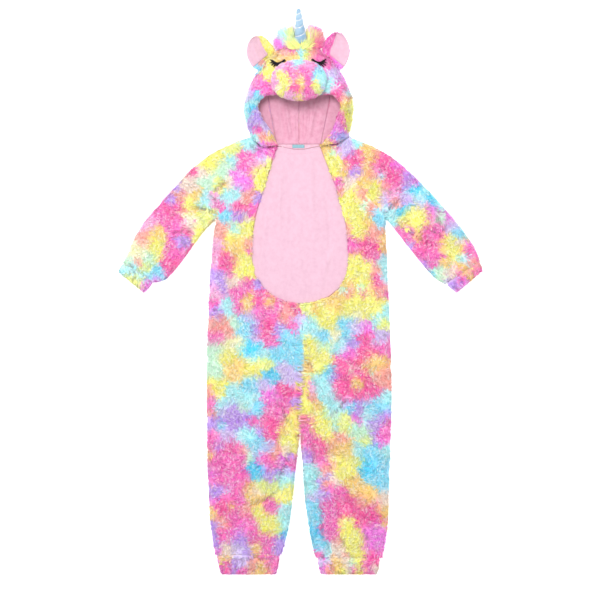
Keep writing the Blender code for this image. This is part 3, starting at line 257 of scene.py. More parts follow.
def dye_at(points, which, mirrored):
    """Screen colours of the dye at points in the frame; mirrored ones read the chart from behind."""
    spots = chart_points(points)
    spots[mirrored, 0] = 2 * CHART_X - spots[mirrored, 0]
    spots[mirrored, 1] += 9
    wander = np.stack([noise(points, 14 * MM, 3) * 1.5 + noise(points, 5 * MM, 5) * 1.3,
                       noise(points, 14 * MM, 7) * 1.5 + noise(points, 5 * MM, 9) * 1.3], axis=1)
    spots = spots + wander
    places, colours = DYE_SETS[which]
    out = np.zeros((len(points), 3))
    for start in range(0, len(points), 20000):
        here = spots[start:start + 20000]
        apart = ((here[:, None, 0] - places[None, :, 0]) ** 2
                 + (here[:, None, 1] - places[None, :, 1]) ** 2) / places[None, :, 2] ** 2
        apart -= apart.min(axis=1, keepdims=True)
        weight = np.exp(-1.5 * apart)
        out[start:start + 20000] = weight @ colours / weight.sum(axis=1, keepdims=True)
    return out


def line_share(spots, line):
    """How near chart places are to a bowed line, 0 to 1, with its height as the factor."""
    x0, y0, x1, y1, bow, half, height = line
    run = np.array([x1 - x0, y1 - y0])
    size = np.linalg.norm(run)
    run = run / size
    away = spots - (x0, y0)
    along = away @ run
    across = away @ np.array([-run[1], run[0]])
    share = np.clip(along / size, 0, 1)
    across = across - bow * 4 * share * (1 - share)
    beyond = np.maximum(np.maximum(-along, along - size), 0)
    off = np.sqrt(across ** 2 + beyond ** 2) / half
    return height * np.exp(-off ** 2 * 1.6) * (0.5 + 2 * share * (1 - share))


def crease_depth(points):
    """How deep in a crease the points lie, 0 to 1."""
    spots = chart_points(points)
    spots[:, 0] += noise(points, 9 * MM, 21) * 0.5
    spots[:, 1] += noise(points, 9 * MM, 22) * 0.5
    deepest = np.zeros(len(points))
    for line in CREASES:
        deepest = np.maximum(deepest, line_share(spots, line))
    return deepest


def relief(points):
    """Height of the puffs and creases of the pile over its solid."""
    puffs = 2.3 * noise(points, 34 * MM, 51) + 1.3 * noise(points, 15 * MM, 53)
    return (puffs - 9.0 * crease_depth(points)) * MM


def relief_slope(points):
    """Slope of that relief to the right and up the lay."""
    step = 1.2 * MM
    right = relief(points + (step, 0, 0)) - relief(points - (step, 0, 0))
    up = relief(points + (0, step, 0)) - relief(points - (0, step, 0))
    return np.stack([right, up, np.zeros(len(points))], axis=1) / (2 * step)


def jitter(count, wide=3):
    """Random rows with values from -0.5 to 0.5."""
    return RANDOM.random((count, wide)) - 0.5


def unit(vectors):
    return vectors / np.maximum(np.linalg.norm(vectors, axis=1, keepdims=True), 1e-12)


def node_arrays(name, longest=None):
    """Points and triangles of a CAD node with its shared points merged, cut to edges under longest."""
    bm = bmesh.new()
    bm.from_mesh(NODES[name].data)
    bmesh.ops.remove_doubles(bm, verts=bm.verts, dist=0.02 * MM)
    bmesh.ops.triangulate(bm, faces=bm.faces)
    for _ in range(8):
        if longest is None:
            break
        long_edges = [edge for edge in bm.edges if edge.calc_length() > longest]
        if not long_edges:
            break
        bmesh.ops.subdivide_edges(bm, edges=long_edges, cuts=1)
        bmesh.ops.triangulate(bm, faces=bm.faces)
    bmesh.ops.recalc_face_normals(bm, faces=bm.faces)
    points = np.array([v.co for v in bm.verts])
    faces = np.array([[v.index for v in f.verts] for f in bm.faces])
    bm.free()
    _, same, times = np.unique(np.sort(faces, axis=1), axis=0, return_inverse=True, return_counts=True)
    return points, faces[times[same.ravel()] == 1]


def smoothed(values, faces, rounds):
    """Values at the points, evened out along the edges of the faces."""
    ends = np.concatenate([faces[:, [0, 1]], faces[:, [1, 2]], faces[:, [2, 0]]])
    for _ in range(rounds):
        total, count = values.copy(), np.ones(len(values))
        for a, b in ((0, 1), (1, 0)):
            np.add.at(total, ends[:, a], values[ends[:, b]])
            np.add.at(count, ends[:, a], 1)
        values = total / count
    return values


def rounded(points, faces, rounds):
    """Points with their corners and facets evened out, at nearly the same size."""
    for _ in range(rounds):
        for share in (0.5, -0.52):
            even = np.stack([smoothed(points[:, axis], faces, 1) for axis in range(3)], axis=1)
            points = points + share * (even - points)
    return points


TREES = {}
for label in NODES:
    spots, sides = node_arrays(label, EAR_EDGE if label.startswith("ear_") else None)
    if label.startswith("ear_"):
        spots = rounded(spots, sides, EAR_ROUNDS)
    TREES[label] = BVHTree.FromPolygons([Vector(spot) for spot in spots],
                                        [tuple(int(i) for i in side) for side in sides])


def whole_tree():
    """One tree of every solid."""
    spots, sides = [], []
    for label in NODES:
        points, faces = node_arrays(label)
        sides += [tuple(int(i) + len(spots) for i in face) for face in faces]
        spots += [Vector(p) for p in points]
    return BVHTree.FromPolygons(spots, sides)


WHOLE = whole_tree()


def well_inside(points, reach=13 * MM):
    """Which points lie further than reach inside the outline of the lay."""
    inside = np.ones(len(points), bool)
    for turn in range(8):
        step = (reach * math.cos(turn * math.pi / 4), reach * math.sin(turn * math.pi / 4))
        for k in np.nonzero(inside)[0]:
            start = Vector((points[k][0] + step[0], points[k][1] + step[1], 0.3))
            inside[k] = WHOLE.ray_cast(start, Vector((0, 0, -1)))[0] is not None
    return inside


def face_facts(points, faces):
    a, b, c = (points[faces[:, k]] for k in range(3))
    cross = np.cross(b - a, c - a)
    return (a + b + c) / 3, unit(cross), np.linalg.norm(cross, axis=1) / 2


BOXES = {label: [np.array(corner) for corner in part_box(label)] for label in NODES}


def neighbours(name, reach):
    """The other nodes whose boxes come that near this one's."""
    low, high = BOXES[name]
    return [other for other in NODES if other != name
            and np.all(BOXES[other][0] < high + reach) and np.all(BOXES[other][1] > low - reach)]


def outer_faces(name, centres, normals, reach=4.5 * MM):
    """Whether each face shows: nothing of another piece lies close over it."""
    near = neighbours(name, reach)
    shows = np.ones(len(centres), bool)
    for k, (spot, way) in enumerate(zip(centres, normals)):
        start = Vector(spot) + Vector(way) * 0.05 * MM
        for other in near:
            if TREES[other].ray_cast(start, Vector(way), reach)[0] is not None:
                shows[k] = False
                break
    return shows


def point_normals(points, faces, normals, areas, shows):
    """Smooth normals of the points, from the faces that show."""
    total = np.zeros_like(points)
    for k in range(3):
        np.add.at(total, faces[:, k], normals * (areas * np.where(shows, 1.0, 1e-6))[:, None])
    return unit(total)


def new_mesh(name, points, faces, colours=None, flat_map=None, smooth=True):
    mesh = bpy.data.meshes.new(name)
    faces = np.asarray(faces, np.int32)
    mesh.vertices.add(len(points))
    mesh.vertices.foreach_set("co", np.asarray(points, np.float32).ravel())
    mesh.loops.add(faces.size)
    mesh.loops.foreach_set("vertex_index", faces.ravel())
    mesh.polygons.add(len(faces))
    mesh.polygons.foreach_set("loop_start", np.arange(0, faces.size, faces.shape[1], dtype=np.int32))
    mesh.update(calc_edges=True)
    mesh.polygons.foreach_set("use_smooth", np.full(len(faces), smooth))
    if colours is not None:
        # The dye layer holds the dye, and on the pile, backing and mane also painted shade and painted
        # highlight.
        layer = mesh.color_attributes.new("dye", "FLOAT_COLOR", "POINT")
        layer.data.foreach_set("color", np.concatenate(
            [linear(colours), np.ones((len(points), 1))], axis=1).astype(np.float32).ravel())
    if flat_map is not None:
        layer = mesh.uv_layers.new(name="OFBake")
        layer.uv.foreach_set("vector", np.asarray(flat_map, np.float32)[faces.ravel()].ravel())
    made = bpy.data.objects.new(name, mesh)
    bpy.context.scene.collection.objects.link(made)
    return made


# Materials

def material(name):
    made = bpy.data.materials.new(name)
    made.use_nodes = True
    tree = made.node_tree
    return made, tree, tree.nodes["Principled BSDF"]


def put(tree, kind, **values):
    made = tree.nodes.new(kind)
    for key, value in values.items():
        if key in made.inputs:
            made.inputs[key].default_value = value
        else:
            setattr(made, key, value)
    return made


def pile_material(name, sheen, rough):
    made, tree, shader = material(name)
    # The dye layer also carries painted shade and painted highlight.
    dye = put(tree, "ShaderNodeVertexColor", layer_name="dye")
    tree.links.new(dye.outputs["Color"], shader.inputs["Base Color"])
    shader.inputs["Roughness"].default_value = rough
    shader.inputs["Specular IOR Level"].default_value = 0.15
    shader.inputs["Sheen Weight"].default_value = sheen
    shader.inputs["Sheen Roughness"].default_value = 0.6
    return made


def cloth_material(name, colour, deep, grain, bump, sheen, rough=0.85):
    """Napped cloth: two tones mixed by noise, with a fine nap as bump."""
    made, tree, shader = material(name)
    place = put(tree, "ShaderNodeTexCoord")
    soft = put(tree, "ShaderNodeTexNoise", Scale=grain, Detail=4.0, Roughness=0.6)
    nap = put(tree, "ShaderNodeTexNoise", Scale=900.0, Detail=3.0, Roughness=0.7)
    ramp = put(tree, "ShaderNodeValToRGB")
    ramp.color_ramp.elements[0].position = 0.32
    ramp.color_ramp.elements[1].position = 0.62
    ramp.color_ramp.elements[0].color = (*linear(np.array(deep) / 255), 1)
    ramp.color_ramp.elements[1].color = (*linear(np.array(colour) / 255), 1)
    relief = put(tree, "ShaderNodeBump", Strength=bump, Distance=0.0006)
    for node in (soft, nap):
        tree.links.new(place.outputs["Object"], node.inputs["Vector"])
    tree.links.new(soft.outputs["Fac"], ramp.inputs["Fac"])
    tree.links.new(ramp.outputs["Color"], shader.inputs["Base Color"])
    tree.links.new(nap.outputs["Fac"], relief.inputs["Height"])
    tree.links.new(relief.outputs["Normal"], shader.inputs["Normal"])
    shader.inputs["Roughness"].default_value = rough
    shader.inputs["Specular IOR Level"].default_value = 0.2
    shader.inputs["Sheen Weight"].default_value = sheen
    shader.inputs["Sheen Roughness"].default_value = 0.5
    return made


PILE = pile_material("dyed_pile_painted_shade_and_highlight", 0.35, 0.75)
BACKING = pile_material("dyed_backing_painted_shade", 0.1, 0.95)
VELOUR = cloth_material("velour_pink", (212, 174, 191), (204, 165, 183), 110.0, 0.5, 0.25)
LINING = cloth_material("lining_pink", (213, 159, 180), (202, 141, 164), 90.0, 0.6, 0.25)
FACING = cloth_material("facing_pink", (220, 177, 193), (208, 160, 177), 200.0, 0.4, 0.2)
LABEL = cloth_material("label_woven", (136, 176, 186), (116, 158, 170), 700.0, 0.5, 0.1, 0.6)
SATIN = cloth_material("satin_blue", (158, 186, 206), (128, 160, 188), 60.0, 0.15, 0.1, 0.28)
THREAD = cloth_material("thread_black", (44, 40, 46), (14, 12, 16), 700.0, 0.8, 0.2, 0.5)
CORD, _, cord_shader = material("cord_silver")
cord_shader.inputs["Base Color"].default_value = (*linear(np.array((232, 235, 240)) / 255), 1)
cord_shader.inputs["Metallic"].default_value = 0.25
cord_shader.inputs["Roughness"].default_value = 0.25
STITCH = cloth_material("stitch_pink", (206, 148, 172), (190, 128, 156), 600.0, 0.4, 0.1)


def dress(piece, look, node=None):
    """Gives a piece its material and its slot, and the node that it stands in for."""
    piece.data.materials.append(look)
    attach(piece, "root")
    if node:
        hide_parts(node)


def dye_set(name):
    if name == "muzzle":
        return "muzzle"
    if name.startswith("mane"):
        return "mane"
    return "hood" if name in HOOD_PLUSH else "body"


def pile_depth(points, normals, name):
    """How far the backing lies under the surface, at points with those outward normals."""
    under = np.clip((-normals[:, 2] - 0.3) / 0.5, 0, 1)
    depth = PILE_DEPTH * (1 - under) + PILE_UNDER * under
    depth = depth * (1 + 0.16 * noise(points, 16 * MM, 31))
    if name.startswith("ear"):
        depth = depth * 0.5
    apart = np.full(len(points), 1.0)
    for other in neighbours(name, 8 * MM):
        for k, spot in enumerate(points):
            found = TREES[other].find_nearest(Vector(spot), 8 * MM)[3]
            if found is not None:
                apart[k] = min(apart[k], found)
    wall = np.clip((np.abs(normals[:, 2]) - 0.1) / 0.5, 0.35, 1)
    return depth * np.clip(apart / (7 * MM), 0.2, 1) * wall


def keep_clear(name, tips):
    """Which tips stay off the stitched lashes."""
    clear = np.ones(len(tips), bool)
    if name not in ("hood_face", "muzzle", "hood_side_left", "hood_side_right"):
        return clear
    for lash in ("eyelash_left", "eyelash_right"):
        low, high = BOXES[lash]
        near = np.all((tips[:, :2] > low[:2] - 3 * MM) & (tips[:, :2] < high[:2] + 3 * MM), axis=1)
        for k in np.nonzero(near)[0]:
            apart = TREES[lash].find_nearest(Vector(tips[k]))[3]
            clear[k] = apart > 1.8 * MM
    return clear


def spread_tufts(points, spacing):
    """Picks from points so that no two picks are nearer than about the spacing."""
    taken, kept = {}, []
    for k, p in enumerate(points):
        cell = tuple(int(v) for v in np.floor(p / spacing))
        close = False
        for dx in (-1, 0, 1):
            for dy in (-1, 0, 1):
                for dz in (-1, 0, 1):
                    for q in taken.get((cell[0] + dx, cell[1] + dy, cell[2] + dz), ()):
                        if ((points[q] - p) ** 2).sum() < (0.8 * spacing) ** 2:
                            close = True
        if not close:
            taken.setdefault(cell, []).append(k)
            kept.append(k)
    return np.array(kept)


def random_places(points, faces, areas, count):
    """Random places on the faces, with the face of each and its share of that face's corners."""
    picked = RANDOM.choice(len(faces), size=count, p=areas / areas.sum())
    u, v = RANDOM.random(count), RANDOM.random(count)
    fold = u + v > 1
    u[fold], v[fold] = 1 - u[fold], 1 - v[fold]
    weights = np.stack([1 - u - v, u, v], axis=1)[:, :, None]
    return (points[faces[picked]] * weights).sum(axis=1), picked, weights


def sample(points, faces, normals_at, depth_at, areas, count):
    """Random places on the faces, with smooth normals and the depth of the backing there."""
    spots, picked, weights = random_places(points, faces, areas, count)
    return (spots, unit((normals_at[faces[picked]] * weights).sum(axis=1)),
            (depth_at[faces[picked]] * weights[:, :, 0]).sum(axis=1))


def nearest_of(seeds, spots):
    """Index of the seed nearest to each spot."""
    tree = KDTree(len(seeds))
    for k, spot in enumerate(seeds):
        tree.insert(Vector(spot), k)
    tree.balance()
    return np.array([tree.find(spot)[1] for spot in spots])


def seeds_on(points, faces, normals_at, depth_at, areas, spacing):
    """Places on the faces that keep about the spacing from each other."""
    count = int(areas.sum() / spacing ** 2 * 4)
    found = sample(points, faces, normals_at, depth_at, areas, count)[0]
    return found[spread_tufts(found, spacing)]


def reach_over(name, spots, out, reach):
    """Steps along the surface to just over the nearest neighbour, for pile that covers the seams."""
    steps = np.zeros_like(spots)
    chart = chart_points(spots)
    inseam = (np.abs(chart[:, 0] - 300.5) < 9) & (chart[:, 1] > 352) & (chart[:, 1] < 434)
    nearest = np.where(inseam, INSEAM_REACH, reach)
    reach = INSEAM_REACH
    for other in neighbours(name, reach):
        if "lash" in other or "lining" in other or "facing" in other:
            continue
        low, high = BOXES[other]
        around = np.all((spots > low - reach) & (spots < high + reach), axis=1)
        if other.split("_")[-1] == name.split("_")[-1]:
            around &= ~inseam
        for k in np.nonzero(around)[0]:
            at, _, _, apart = TREES[other].find_nearest(Vector(spots[k]), float(nearest[k]))
            if at is not None and apart < nearest[k]:
                nearest[k] = apart
                step = np.array(at) - spots[k]
                step = step - out[k] * (step @ out[k])
                size = np.linalg.norm(step)
                steps[k] = step * (1 + SEAM_OVERLAP / size) if size > 0.15 * MM else 0
    return steps


def make_backing(name):
    """The cloth under a panel's pile, with the skin that shows, its normals and the whole skin's area."""
    ear = name.startswith("ear_")
    points, faces = node_arrays(name, EAR_EDGE if ear else BACKING_EDGE)
    if ear:
        points = rounded(points, faces, EAR_ROUNDS)
    centres, normals, areas = face_facts(points, faces)
    shows = outer_faces(name, centres, normals)
    at_points = point_normals(points, faces, normals, areas, shows)
    shown_point = np.zeros(len(points), bool)
    shown_point[faces[shows].ravel()] = True
    depth = smoothed(np.where(shown_point, pile_depth(points, at_points, name), 0.0), faces, 3)
    ground = dye_at(points, dye_set(name), turned_under(points, at_points))
    # The backing gets the dye dimmed a little as painted shade in the gaps of the pile.
    backing = new_mesh(name + "_backing", points - at_points * depth[:, None], faces, ground * 0.96)
    dress(backing, BACKING, name)
    return backing, (points, faces[shows], at_points, depth, areas[shows]), normals[shows], areas.sum()


def turned_under(points, normals):
    """Which points face the floor, well inside the outline, and so show the dye of the back."""
    beneath = normals[:, 2] < -0.85
    beneath[beneath] = well_inside(points[beneath])
    return beneath


def blade_corners(name, roots, out, depth, tufts, tuft, locks, lock, crease):
    """Corners of the blades on the roots, which blades to keep, how they lean and how far they turn up."""
    count = len(roots)
    swirl = np.stack([noise(tufts, TUFT_SWIRL, 41), noise(tufts, TUFT_SWIRL, 43) - 0.3,
                      noise(tufts, TUFT_SWIRL, 47)], axis=1)
    swirl = unit(swirl + 0.9 * jitter(len(tufts)))
    turn = 0.9 * jitter(len(locks))
    lean = swirl[tuft] + turn[lock] + 0.5 * jitter(count)
    lean = unit(lean - out * (lean * out).sum(axis=1, keepdims=True))
    reach = BLADE_REACH[0] + (BLADE_REACH[1] - BLADE_REACH[0]) * RANDOM.random(count)
    heart = locks[lock] + (swirl[tuft] + turn[lock]) * LOCK_REACH
    gather = (0.15 + 0.5 * RANDOM.random(len(locks)))[lock][:, None]
    aim = roots + lean * reach[:, None]
    aim = aim + gather * (heart - aim)
    tips = np.array([TREES[name].find_nearest(Vector(spot))[0] for spot in aim])
    over = reach_over(name, tips, out, SEAM_REACH) * (RANDOM.random((count, 1)) < 0.6)
    tips = tips + over * (0.5 + 0.5 * RANDOM.random((count, 1)))

    under = out[:, 2] < -0.5
    proud = (RANDOM.random(count) * 2.0 - 1.5) * MM
    proud = proud + 1.5 * MM * (np.linalg.norm(over, axis=1) > 0)
    tuft_high = (RANDOM.random(len(tufts)) - 0.5) * 1.2 * MM
    lock_high = (RANDOM.random(len(locks)) - 0.5) * 2.4 * MM
    proud += tuft_high[tuft] + lock_high[lock] - crease * 3.0 * MM
    proud = np.where(under, -0.8 * MM * RANDOM.random(count), proud)
    tips = tips + out * proud[:, None]
    keep = keep_clear(name, tips)

    roots = roots - out * (depth + crease * 1.2 * MM + 0.4 * MM)[:, None]
    tips[:, 2] = np.maximum(tips[:, 2], 0.3 * MM)
    middle = 0.42 * roots + 0.58 * tips + out * (1.3 * MM * RANDOM.random(count))[:, None]
    middle[:, 2] = np.maximum(middle[:, 2], 0.4 * MM)
    lift = np.clip(0.9 - 2.2 * np.abs(out[:, 2:3]), 0, 1) * (out[:, 2:3] > -0.4)
    facing = unit(out + lift * np.array([0, 0, 1.4]))
    side = unit(np.cross(unit(tips - roots), facing) + 0.4 * facing * jitter(count, 1))
    width = BLADE_WIDTH[0] + (BLADE_WIDTH[1] - BLADE_WIDTH[0]) * RANDOM.random(count)
    width = np.where(under, width * 1.7, width)[:, None] / 2
    corners = np.stack([roots, middle - side * width, middle + side * width, tips], axis=1)
    corners[:, :, 2] = np.maximum(corners[:, :, 2], FLOOR_CLEAR)
    return corners, keep, lean, lift


def blade_colours(name, roots, out, locks, lock, crease):
    """Colours at the corners of the blades: the dye, richer at the roots and richer and darker between the
    locks and in the creases as painted shade, and whitened at the tips as painted highlight.
    """
    count = len(roots)
    lock_shift = jitter(len(locks)) * 9 * MM
    dye = dye_at(roots + lock_shift[lock] + jitter(count) * 4 * MM, dye_set(name), turned_under(roots, out))
    tone = 1 + 0.17 * jitter(count, 1)
    # Painted shade between the locks: edge grows away from a lock's foot and makes those blades richer and
    # darker.
    edge = np.linalg.norm(roots - locks[lock], axis=1, keepdims=True) / (0.62 * LOCK_SPACING)
    edge = np.clip(edge, 0, 1) ** 2
    grey = dye.mean(axis=1, keepdims=True)
    # Painted shade in the creases: deep dims and enriches the blades there.
    deep = crease[:, None] ** 1.2 * CREASE_SHADE
    # Painted highlight: a random share for each lock whitens the tips and middles of its blades.
    tip_highlight = (RANDOM.random(len(locks)) ** 1.5)[lock][:, None]
    rich = 1 + 0.4 * (1 - tip_highlight) ** 3 + 0.5 * edge
    # The roots are made richer as painted shade deep in the pile.
    root_dye_and_shade = np.clip(grey + (dye - grey) * 1.2, 0, 1) * (1 - 0.2 * deep)
    middle_dye_shade_and_highlight = np.clip(grey + (dye - grey) * (rich + 0.5 * deep), 0, 1) * (1 - deep) * tone
    middle_dye_shade_and_highlight = (middle_dye_shade_and_highlight + (1 - middle_dye_shade_and_highlight) * 0.24 * tip_highlight) * (1 - 0.15 * edge)
    tip_dye_highlight_and_shade = (dye + (1 - dye) * (0.1 + 0.72 * tip_highlight)) * (1 - 0.75 * deep) * tone * (1 - 0.03 * edge)
    return np.stack([root_dye_and_shade, middle_dye_shade_and_highlight, middle_dye_shade_and_highlight, tip_dye_highlight_and_shade], axis=1)


def make_plush(name):
    """The backing of a plush panel and the pile on it."""
    backing, (points, faces, at_points, depth, areas), normals, skin_area = make_backing(name)
    weighted = areas * (np.where(normals[:, 2] < -0.6, BLADES_UNDER, BLADES_SHOWN) / MM ** 2)
    roots, out, depth = sample(points, faces, at_points, depth, weighted, int(weighted.sum()))
    on = (points, faces, at_points, np.zeros(len(points)), areas)
    tufts = seeds_on(*on, TUFT_SPACING)
    locks = seeds_on(*on, LOCK_SPACING)
    tuft, lock = nearest_of(tufts, roots), nearest_of(locks, roots)
    crease = crease_depth(roots) * (out[:, 2] > 0.2)
    corners, keep, lean, lift = blade_corners(name, roots, out, depth, tufts, tuft, locks, lock, crease)
    slope = relief_slope(roots) * np.clip(out[:, 2:3], 0, 1)
    colours = blade_colours(name, roots, out, locks, lock, crease)
    shading = unit(out * 1.2 - slope * 1.1 + lift * np.array([0, 0, 1.2])
                   + lean * 0.3 + 0.4 * jitter(len(roots))
                   + 0.38 * (roots - locks[lock]) / (0.6 * LOCK_SPACING))

    under = np.repeat(out[keep, 2] < -0.5, 4)
    flat = corners[keep].reshape(-1, 3)
    low, high = flat.min(axis=0), flat.max(axis=0)
    size = max(high[0] - low[0], high[1] - low[1]) * 2.05
    maps = np.stack([(flat[:, 0] - low[0]) / size + 0.5 * under, (flat[:, 1] - low[1]) / size], axis=1)
    base = np.arange(len(flat) // 4)[:, None] * 4
    blades = np.concatenate([base + (0, 2, 1), base + (1, 2, 3)], axis=0)
    pile = new_mesh(name + "_pile", flat, blades, colours[keep].reshape(-1, 3), maps, smooth=True)
    pile.data.normals_split_custom_set_from_vertices(np.repeat(shading[keep], 4, axis=0).tolist())
    dress(pile, PILE)
    if name == "muzzle":
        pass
    else:
        sheet_of(backing, skin_area)


def sheet_of(piece, skin_area):
    """Works out the flat size of a laid sheet from the box of its piece and the area of one side, and
    leaves it unused.
    """
    spots = np.array([v.co for v in piece.data.vertices])
    wide, long = (spots.max(axis=0) - spots.min(axis=0))[:2]
    room = math.sqrt(max(1.0, skin_area / 2 / (wide * long) * 1.02))
    wide, long = max(SMALLEST_FLAT, float(wide * room)), max(SMALLEST_FLAT, float(long * room))


for label in BODY_PLUSH + HOOD_PLUSH:
    make_plush(label)


# Camera, light and floor

scene = bpy.context.scene
scene.view_settings.view_transform = "Standard"
camera = bpy.data.objects.new("camera", bpy.data.cameras.new("camera"))
camera.data.lens = 200
camera.data.sensor_width = 36
camera.location = (-1.2 * MM, -19.5 * MM, 8.0)
scene.collection.objects.link(camera)
scene.camera = camera

world = bpy.data.worlds.new("room")
world.use_nodes = True
world.node_tree.nodes["Background"].inputs["Color"].default_value = (1, 1, 1, 1)
world.node_tree.nodes["Background"].inputs["Strength"].default_value = 0.92
scene.world = world


key = bpy.data.objects.new("key", bpy.data.lights.new("key", "AREA"))
key.data.size = 1.1
key.data.energy = 88
key.location = (-0.5, 1.3, 3.2)
key.rotation_euler = (-key.location).to_track_quat("-Z", "Y").to_euler()
scene.collection.objects.link(key)

floor = new_mesh("floor", [(6 * x, 6 * y, -0.5 * MM) for x, y in ((-1, -1), (1, -1), (1, 1), (-1, 1))],
                 [[0, 1, 2, 3]], smooth=False)
paper, _, paper_shader = material("white_floor")
paper_shader.inputs["Base Color"].default_value = (0.9, 0.9, 0.9, 1)
paper_shader.inputs["Roughness"].default_value = 0.9
paper_shader.inputs["Emission Color"].default_value = (1, 1, 1, 1)
paper_shader.inputs["Emission Strength"].default_value = 0.6
floor.data.materials.append(paper)

# Plain cloth, horn, mane and lashes

TUMMY_FOLDS = [
    (283, 165, 280, 232, 1.5, 3.4, 4.21), (291, 175, 290, 250, -1.0, 4.2, -2.67),
    (311, 160, 316, 238, 1.5, 4.6, 3.44), (326, 186, 331, 252, -1.0, 3.6, -3.06),
    (268, 214, 263, 262, 1.0, 3.0, 3.06), (300, 228, 303, 288, 1.5, 5.0, 2.67),
    (280, 262, 291, 292, 2.0, 3.4, -2.29), (334, 246, 322, 286, 1.5, 3.2, 2.67),
    (280, 152.5, 319, 151.5, 1.4, 1.0, -1.19), (271, 186, 264, 206, 0.5, 1.8, 1.27),
    (262, 236, 268, 240, 0.0, 1.4, 1.27), (342, 232, 336, 236, 0.0, 1.4, 1.27),
    (345, 262, 338, 264, 0.0, 1.4, 1.02), (258, 252, 265, 255, 0.0, 1.5, 1.02),
]
LINING_FOLDS = [
    (299.3, 98, 299.5, 146, 0.0, 0.75, -2.38), (268.8, 96.7, 276.5, 142.6, 0.6, 0.75, -2.04),
    (330.5, 97.6, 322.4, 141.6, -0.6, 0.75, -2.04), (287, 103, 292, 140, 1.0, 2.4, 5.51),
    (309, 105, 306, 142, -0.8, 2.2, 4.9), (318, 100, 310, 138, 1.0, 2.6, 4.59),
    (279, 105, 283, 135, -0.6, 2.0, 3.98), (272, 112, 279, 128, 0.6, 1.6, 1.6),
    (325, 108, 319, 130, 0.8, 1.8, 1.6), (295, 118, 296, 142, 0.4, 1.6, 3.06),
    (303, 108, 302, 136, -0.4, 1.5, 2.75),
]
FACING_FOLDS = [(284, 145, 285, 150, 0.0, 1.6, 0.6), (312, 145, 311, 150, 0.0, 1.8, 0.6)]
EAR_FOLDS = [
    (260.6, 42.3, 266.3, 57.6, 0.8, 1.3, -2.21), (254, 46, 259, 58, 0.5, 1.8, 1.36),
    (332.3, 39.5, 330, 58.6, -0.6, 1.3, -2.21), (341, 42, 338, 56, -0.5, 2.0, 1.36),
]


def make_cloth(name, use, longest, folds, wave):
    """A thin shell on the form of its solid, with its folds."""
    points, faces = node_arrays(name, longest)
    if name.startswith("ear_"):
        points = rounded(points, faces, EAR_ROUNDS * 2)
    _, _, areas = face_facts(points, faces)
    spots = chart_points(points)
    rise = sum(line_share(spots, line) for line in folds)
    rise = rise + wave * noise(points, 24 * MM, 61) + 0.4 * wave * noise(points, 9 * MM, 62)
    points[:, 2] = np.maximum(points[:, 2] + rise * MM, 0.1 * MM)
    shell = new_mesh(name + "_cloth", points, faces)
    dress(shell, use, name)
    sheet_of(shell, areas.sum())
    return shell


def make_row_of_stitches(name, over, path, spacing, use):
    """Small raised stitches along a line on the chart, on top of a piece."""
    top = BVHTree.FromObject(over, bpy.context.evaluated_depsgraph_get())
    corners, faces = [], []
    for (x0, y0), (x1, y1) in zip(path[:-1], path[1:]):
        first = np.array([(x0 - CHART_X) * CHART, (CHART_Y - y0) * CHART])
        final = np.array([(x1 - CHART_X) * CHART, (CHART_Y - y1) * CHART])
        steps = max(1, int(np.linalg.norm(final - first) / spacing))
        for k in range(steps):
            at = first + (final - first) * (k + 0.5) / steps
            hit = top.ray_cast(Vector((at[0], at[1], 0.3)), Vector((0, 0, -1)))[0]
            if hit is None:
                continue
            way = (final - first) / np.linalg.norm(final - first)
            way = np.array([way[0], way[1], 0.0])
            side = np.array([-way[1], way[0], 0.0])
            middle, up = np.array(hit), np.array([0, 0, 1.0])
            base = len(corners)
            corners += [middle - way * 0.36 * spacing, middle + side * 0.35 * MM, middle + up * 0.35 * MM,
                        middle - side * 0.35 * MM, middle + way * 0.36 * spacing]
            faces += [(base, base + 2, base + 1), (base, base + 3, base + 2),
                      (base + 4, base + 1, base + 2), (base + 4, base + 2, base + 3)]
    row = new_mesh(name, np.array(corners), faces)
    dress(row, use)


def make_strands(points, faces, count, spec):
    """Long strands along the longest edges of the faces."""
    _, normals, areas = face_facts(points, faces)
    spot, picked, _ = random_places(points, faces, areas, count)
    triangles = points[faces[picked]]
    edges = np.roll(triangles, -1, axis=1) - triangles
    longest = np.linalg.norm(edges, axis=2).argmax(axis=1)
    way = unit(edges[np.arange(count), longest])
    away = spot - spec["heart"]
    way = way * np.where((way * away).sum(axis=1, keepdims=True) < 0, -1, 1)
    radial = unit(away)
    stray = spec["jitter"] * jitter(count)
    lock = np.stack([noise(spot, 9 * MM, 71 + k) for k in range(3)], axis=1) * spec["lock"]
    way = unit(way * spec["follow"] + radial * (1 - spec["follow"]) + stray + lock)
    out = unit(normals[picked] * 0.5 + spec["up"])
    across = unit(np.cross(way, out))
    far = np.clip(np.linalg.norm(away, axis=1, keepdims=True) / spec["far"], 0, 1)
    spot = spot + across * spec["spread"] * far * (RANDOM.random((count, 1)) * 2 - 1)
    length = spec["length"][0] + (spec["length"][1] - spec["length"][0]) * RANDOM.random((count, 1))
    lift = out * spec["proud"] * RANDOM.random((count, 1))
    start, end = spot - way * length * 0.5, spot + way * length * 0.5 + lift
    bend = jitter(count) * length * 0.12
    half = across * (spec["width"] * (0.6 + 0.8 * RANDOM.random((count, 1))) / 2)
    first = start + (end - start) * 0.35 + bend + lift
    second = start + (end - start) * 0.7 + bend * 0.8 + lift
    corners = strand_corners(start, first, second, end, half)
    corners[:, :, 2] = np.maximum(corners[:, :, 2], 0.4 * MM)
    return corners, strand_faces(count), out, spot


def strand_corners(start, first, second, end, half):
    """A strand from start to end, widest at its first place and narrower at its second."""
    tapered = half * 0.8
    return np.stack([start, first - half, first + half, second - tapered, second + tapered, end], axis=1)


def strand_faces(count):
    base = np.arange(count)[:, None] * 6
    return np.concatenate([base + (0, 2, 1), base + (1, 2, 4), base + (1, 4, 3), base + (3, 4, 5)], axis=0)


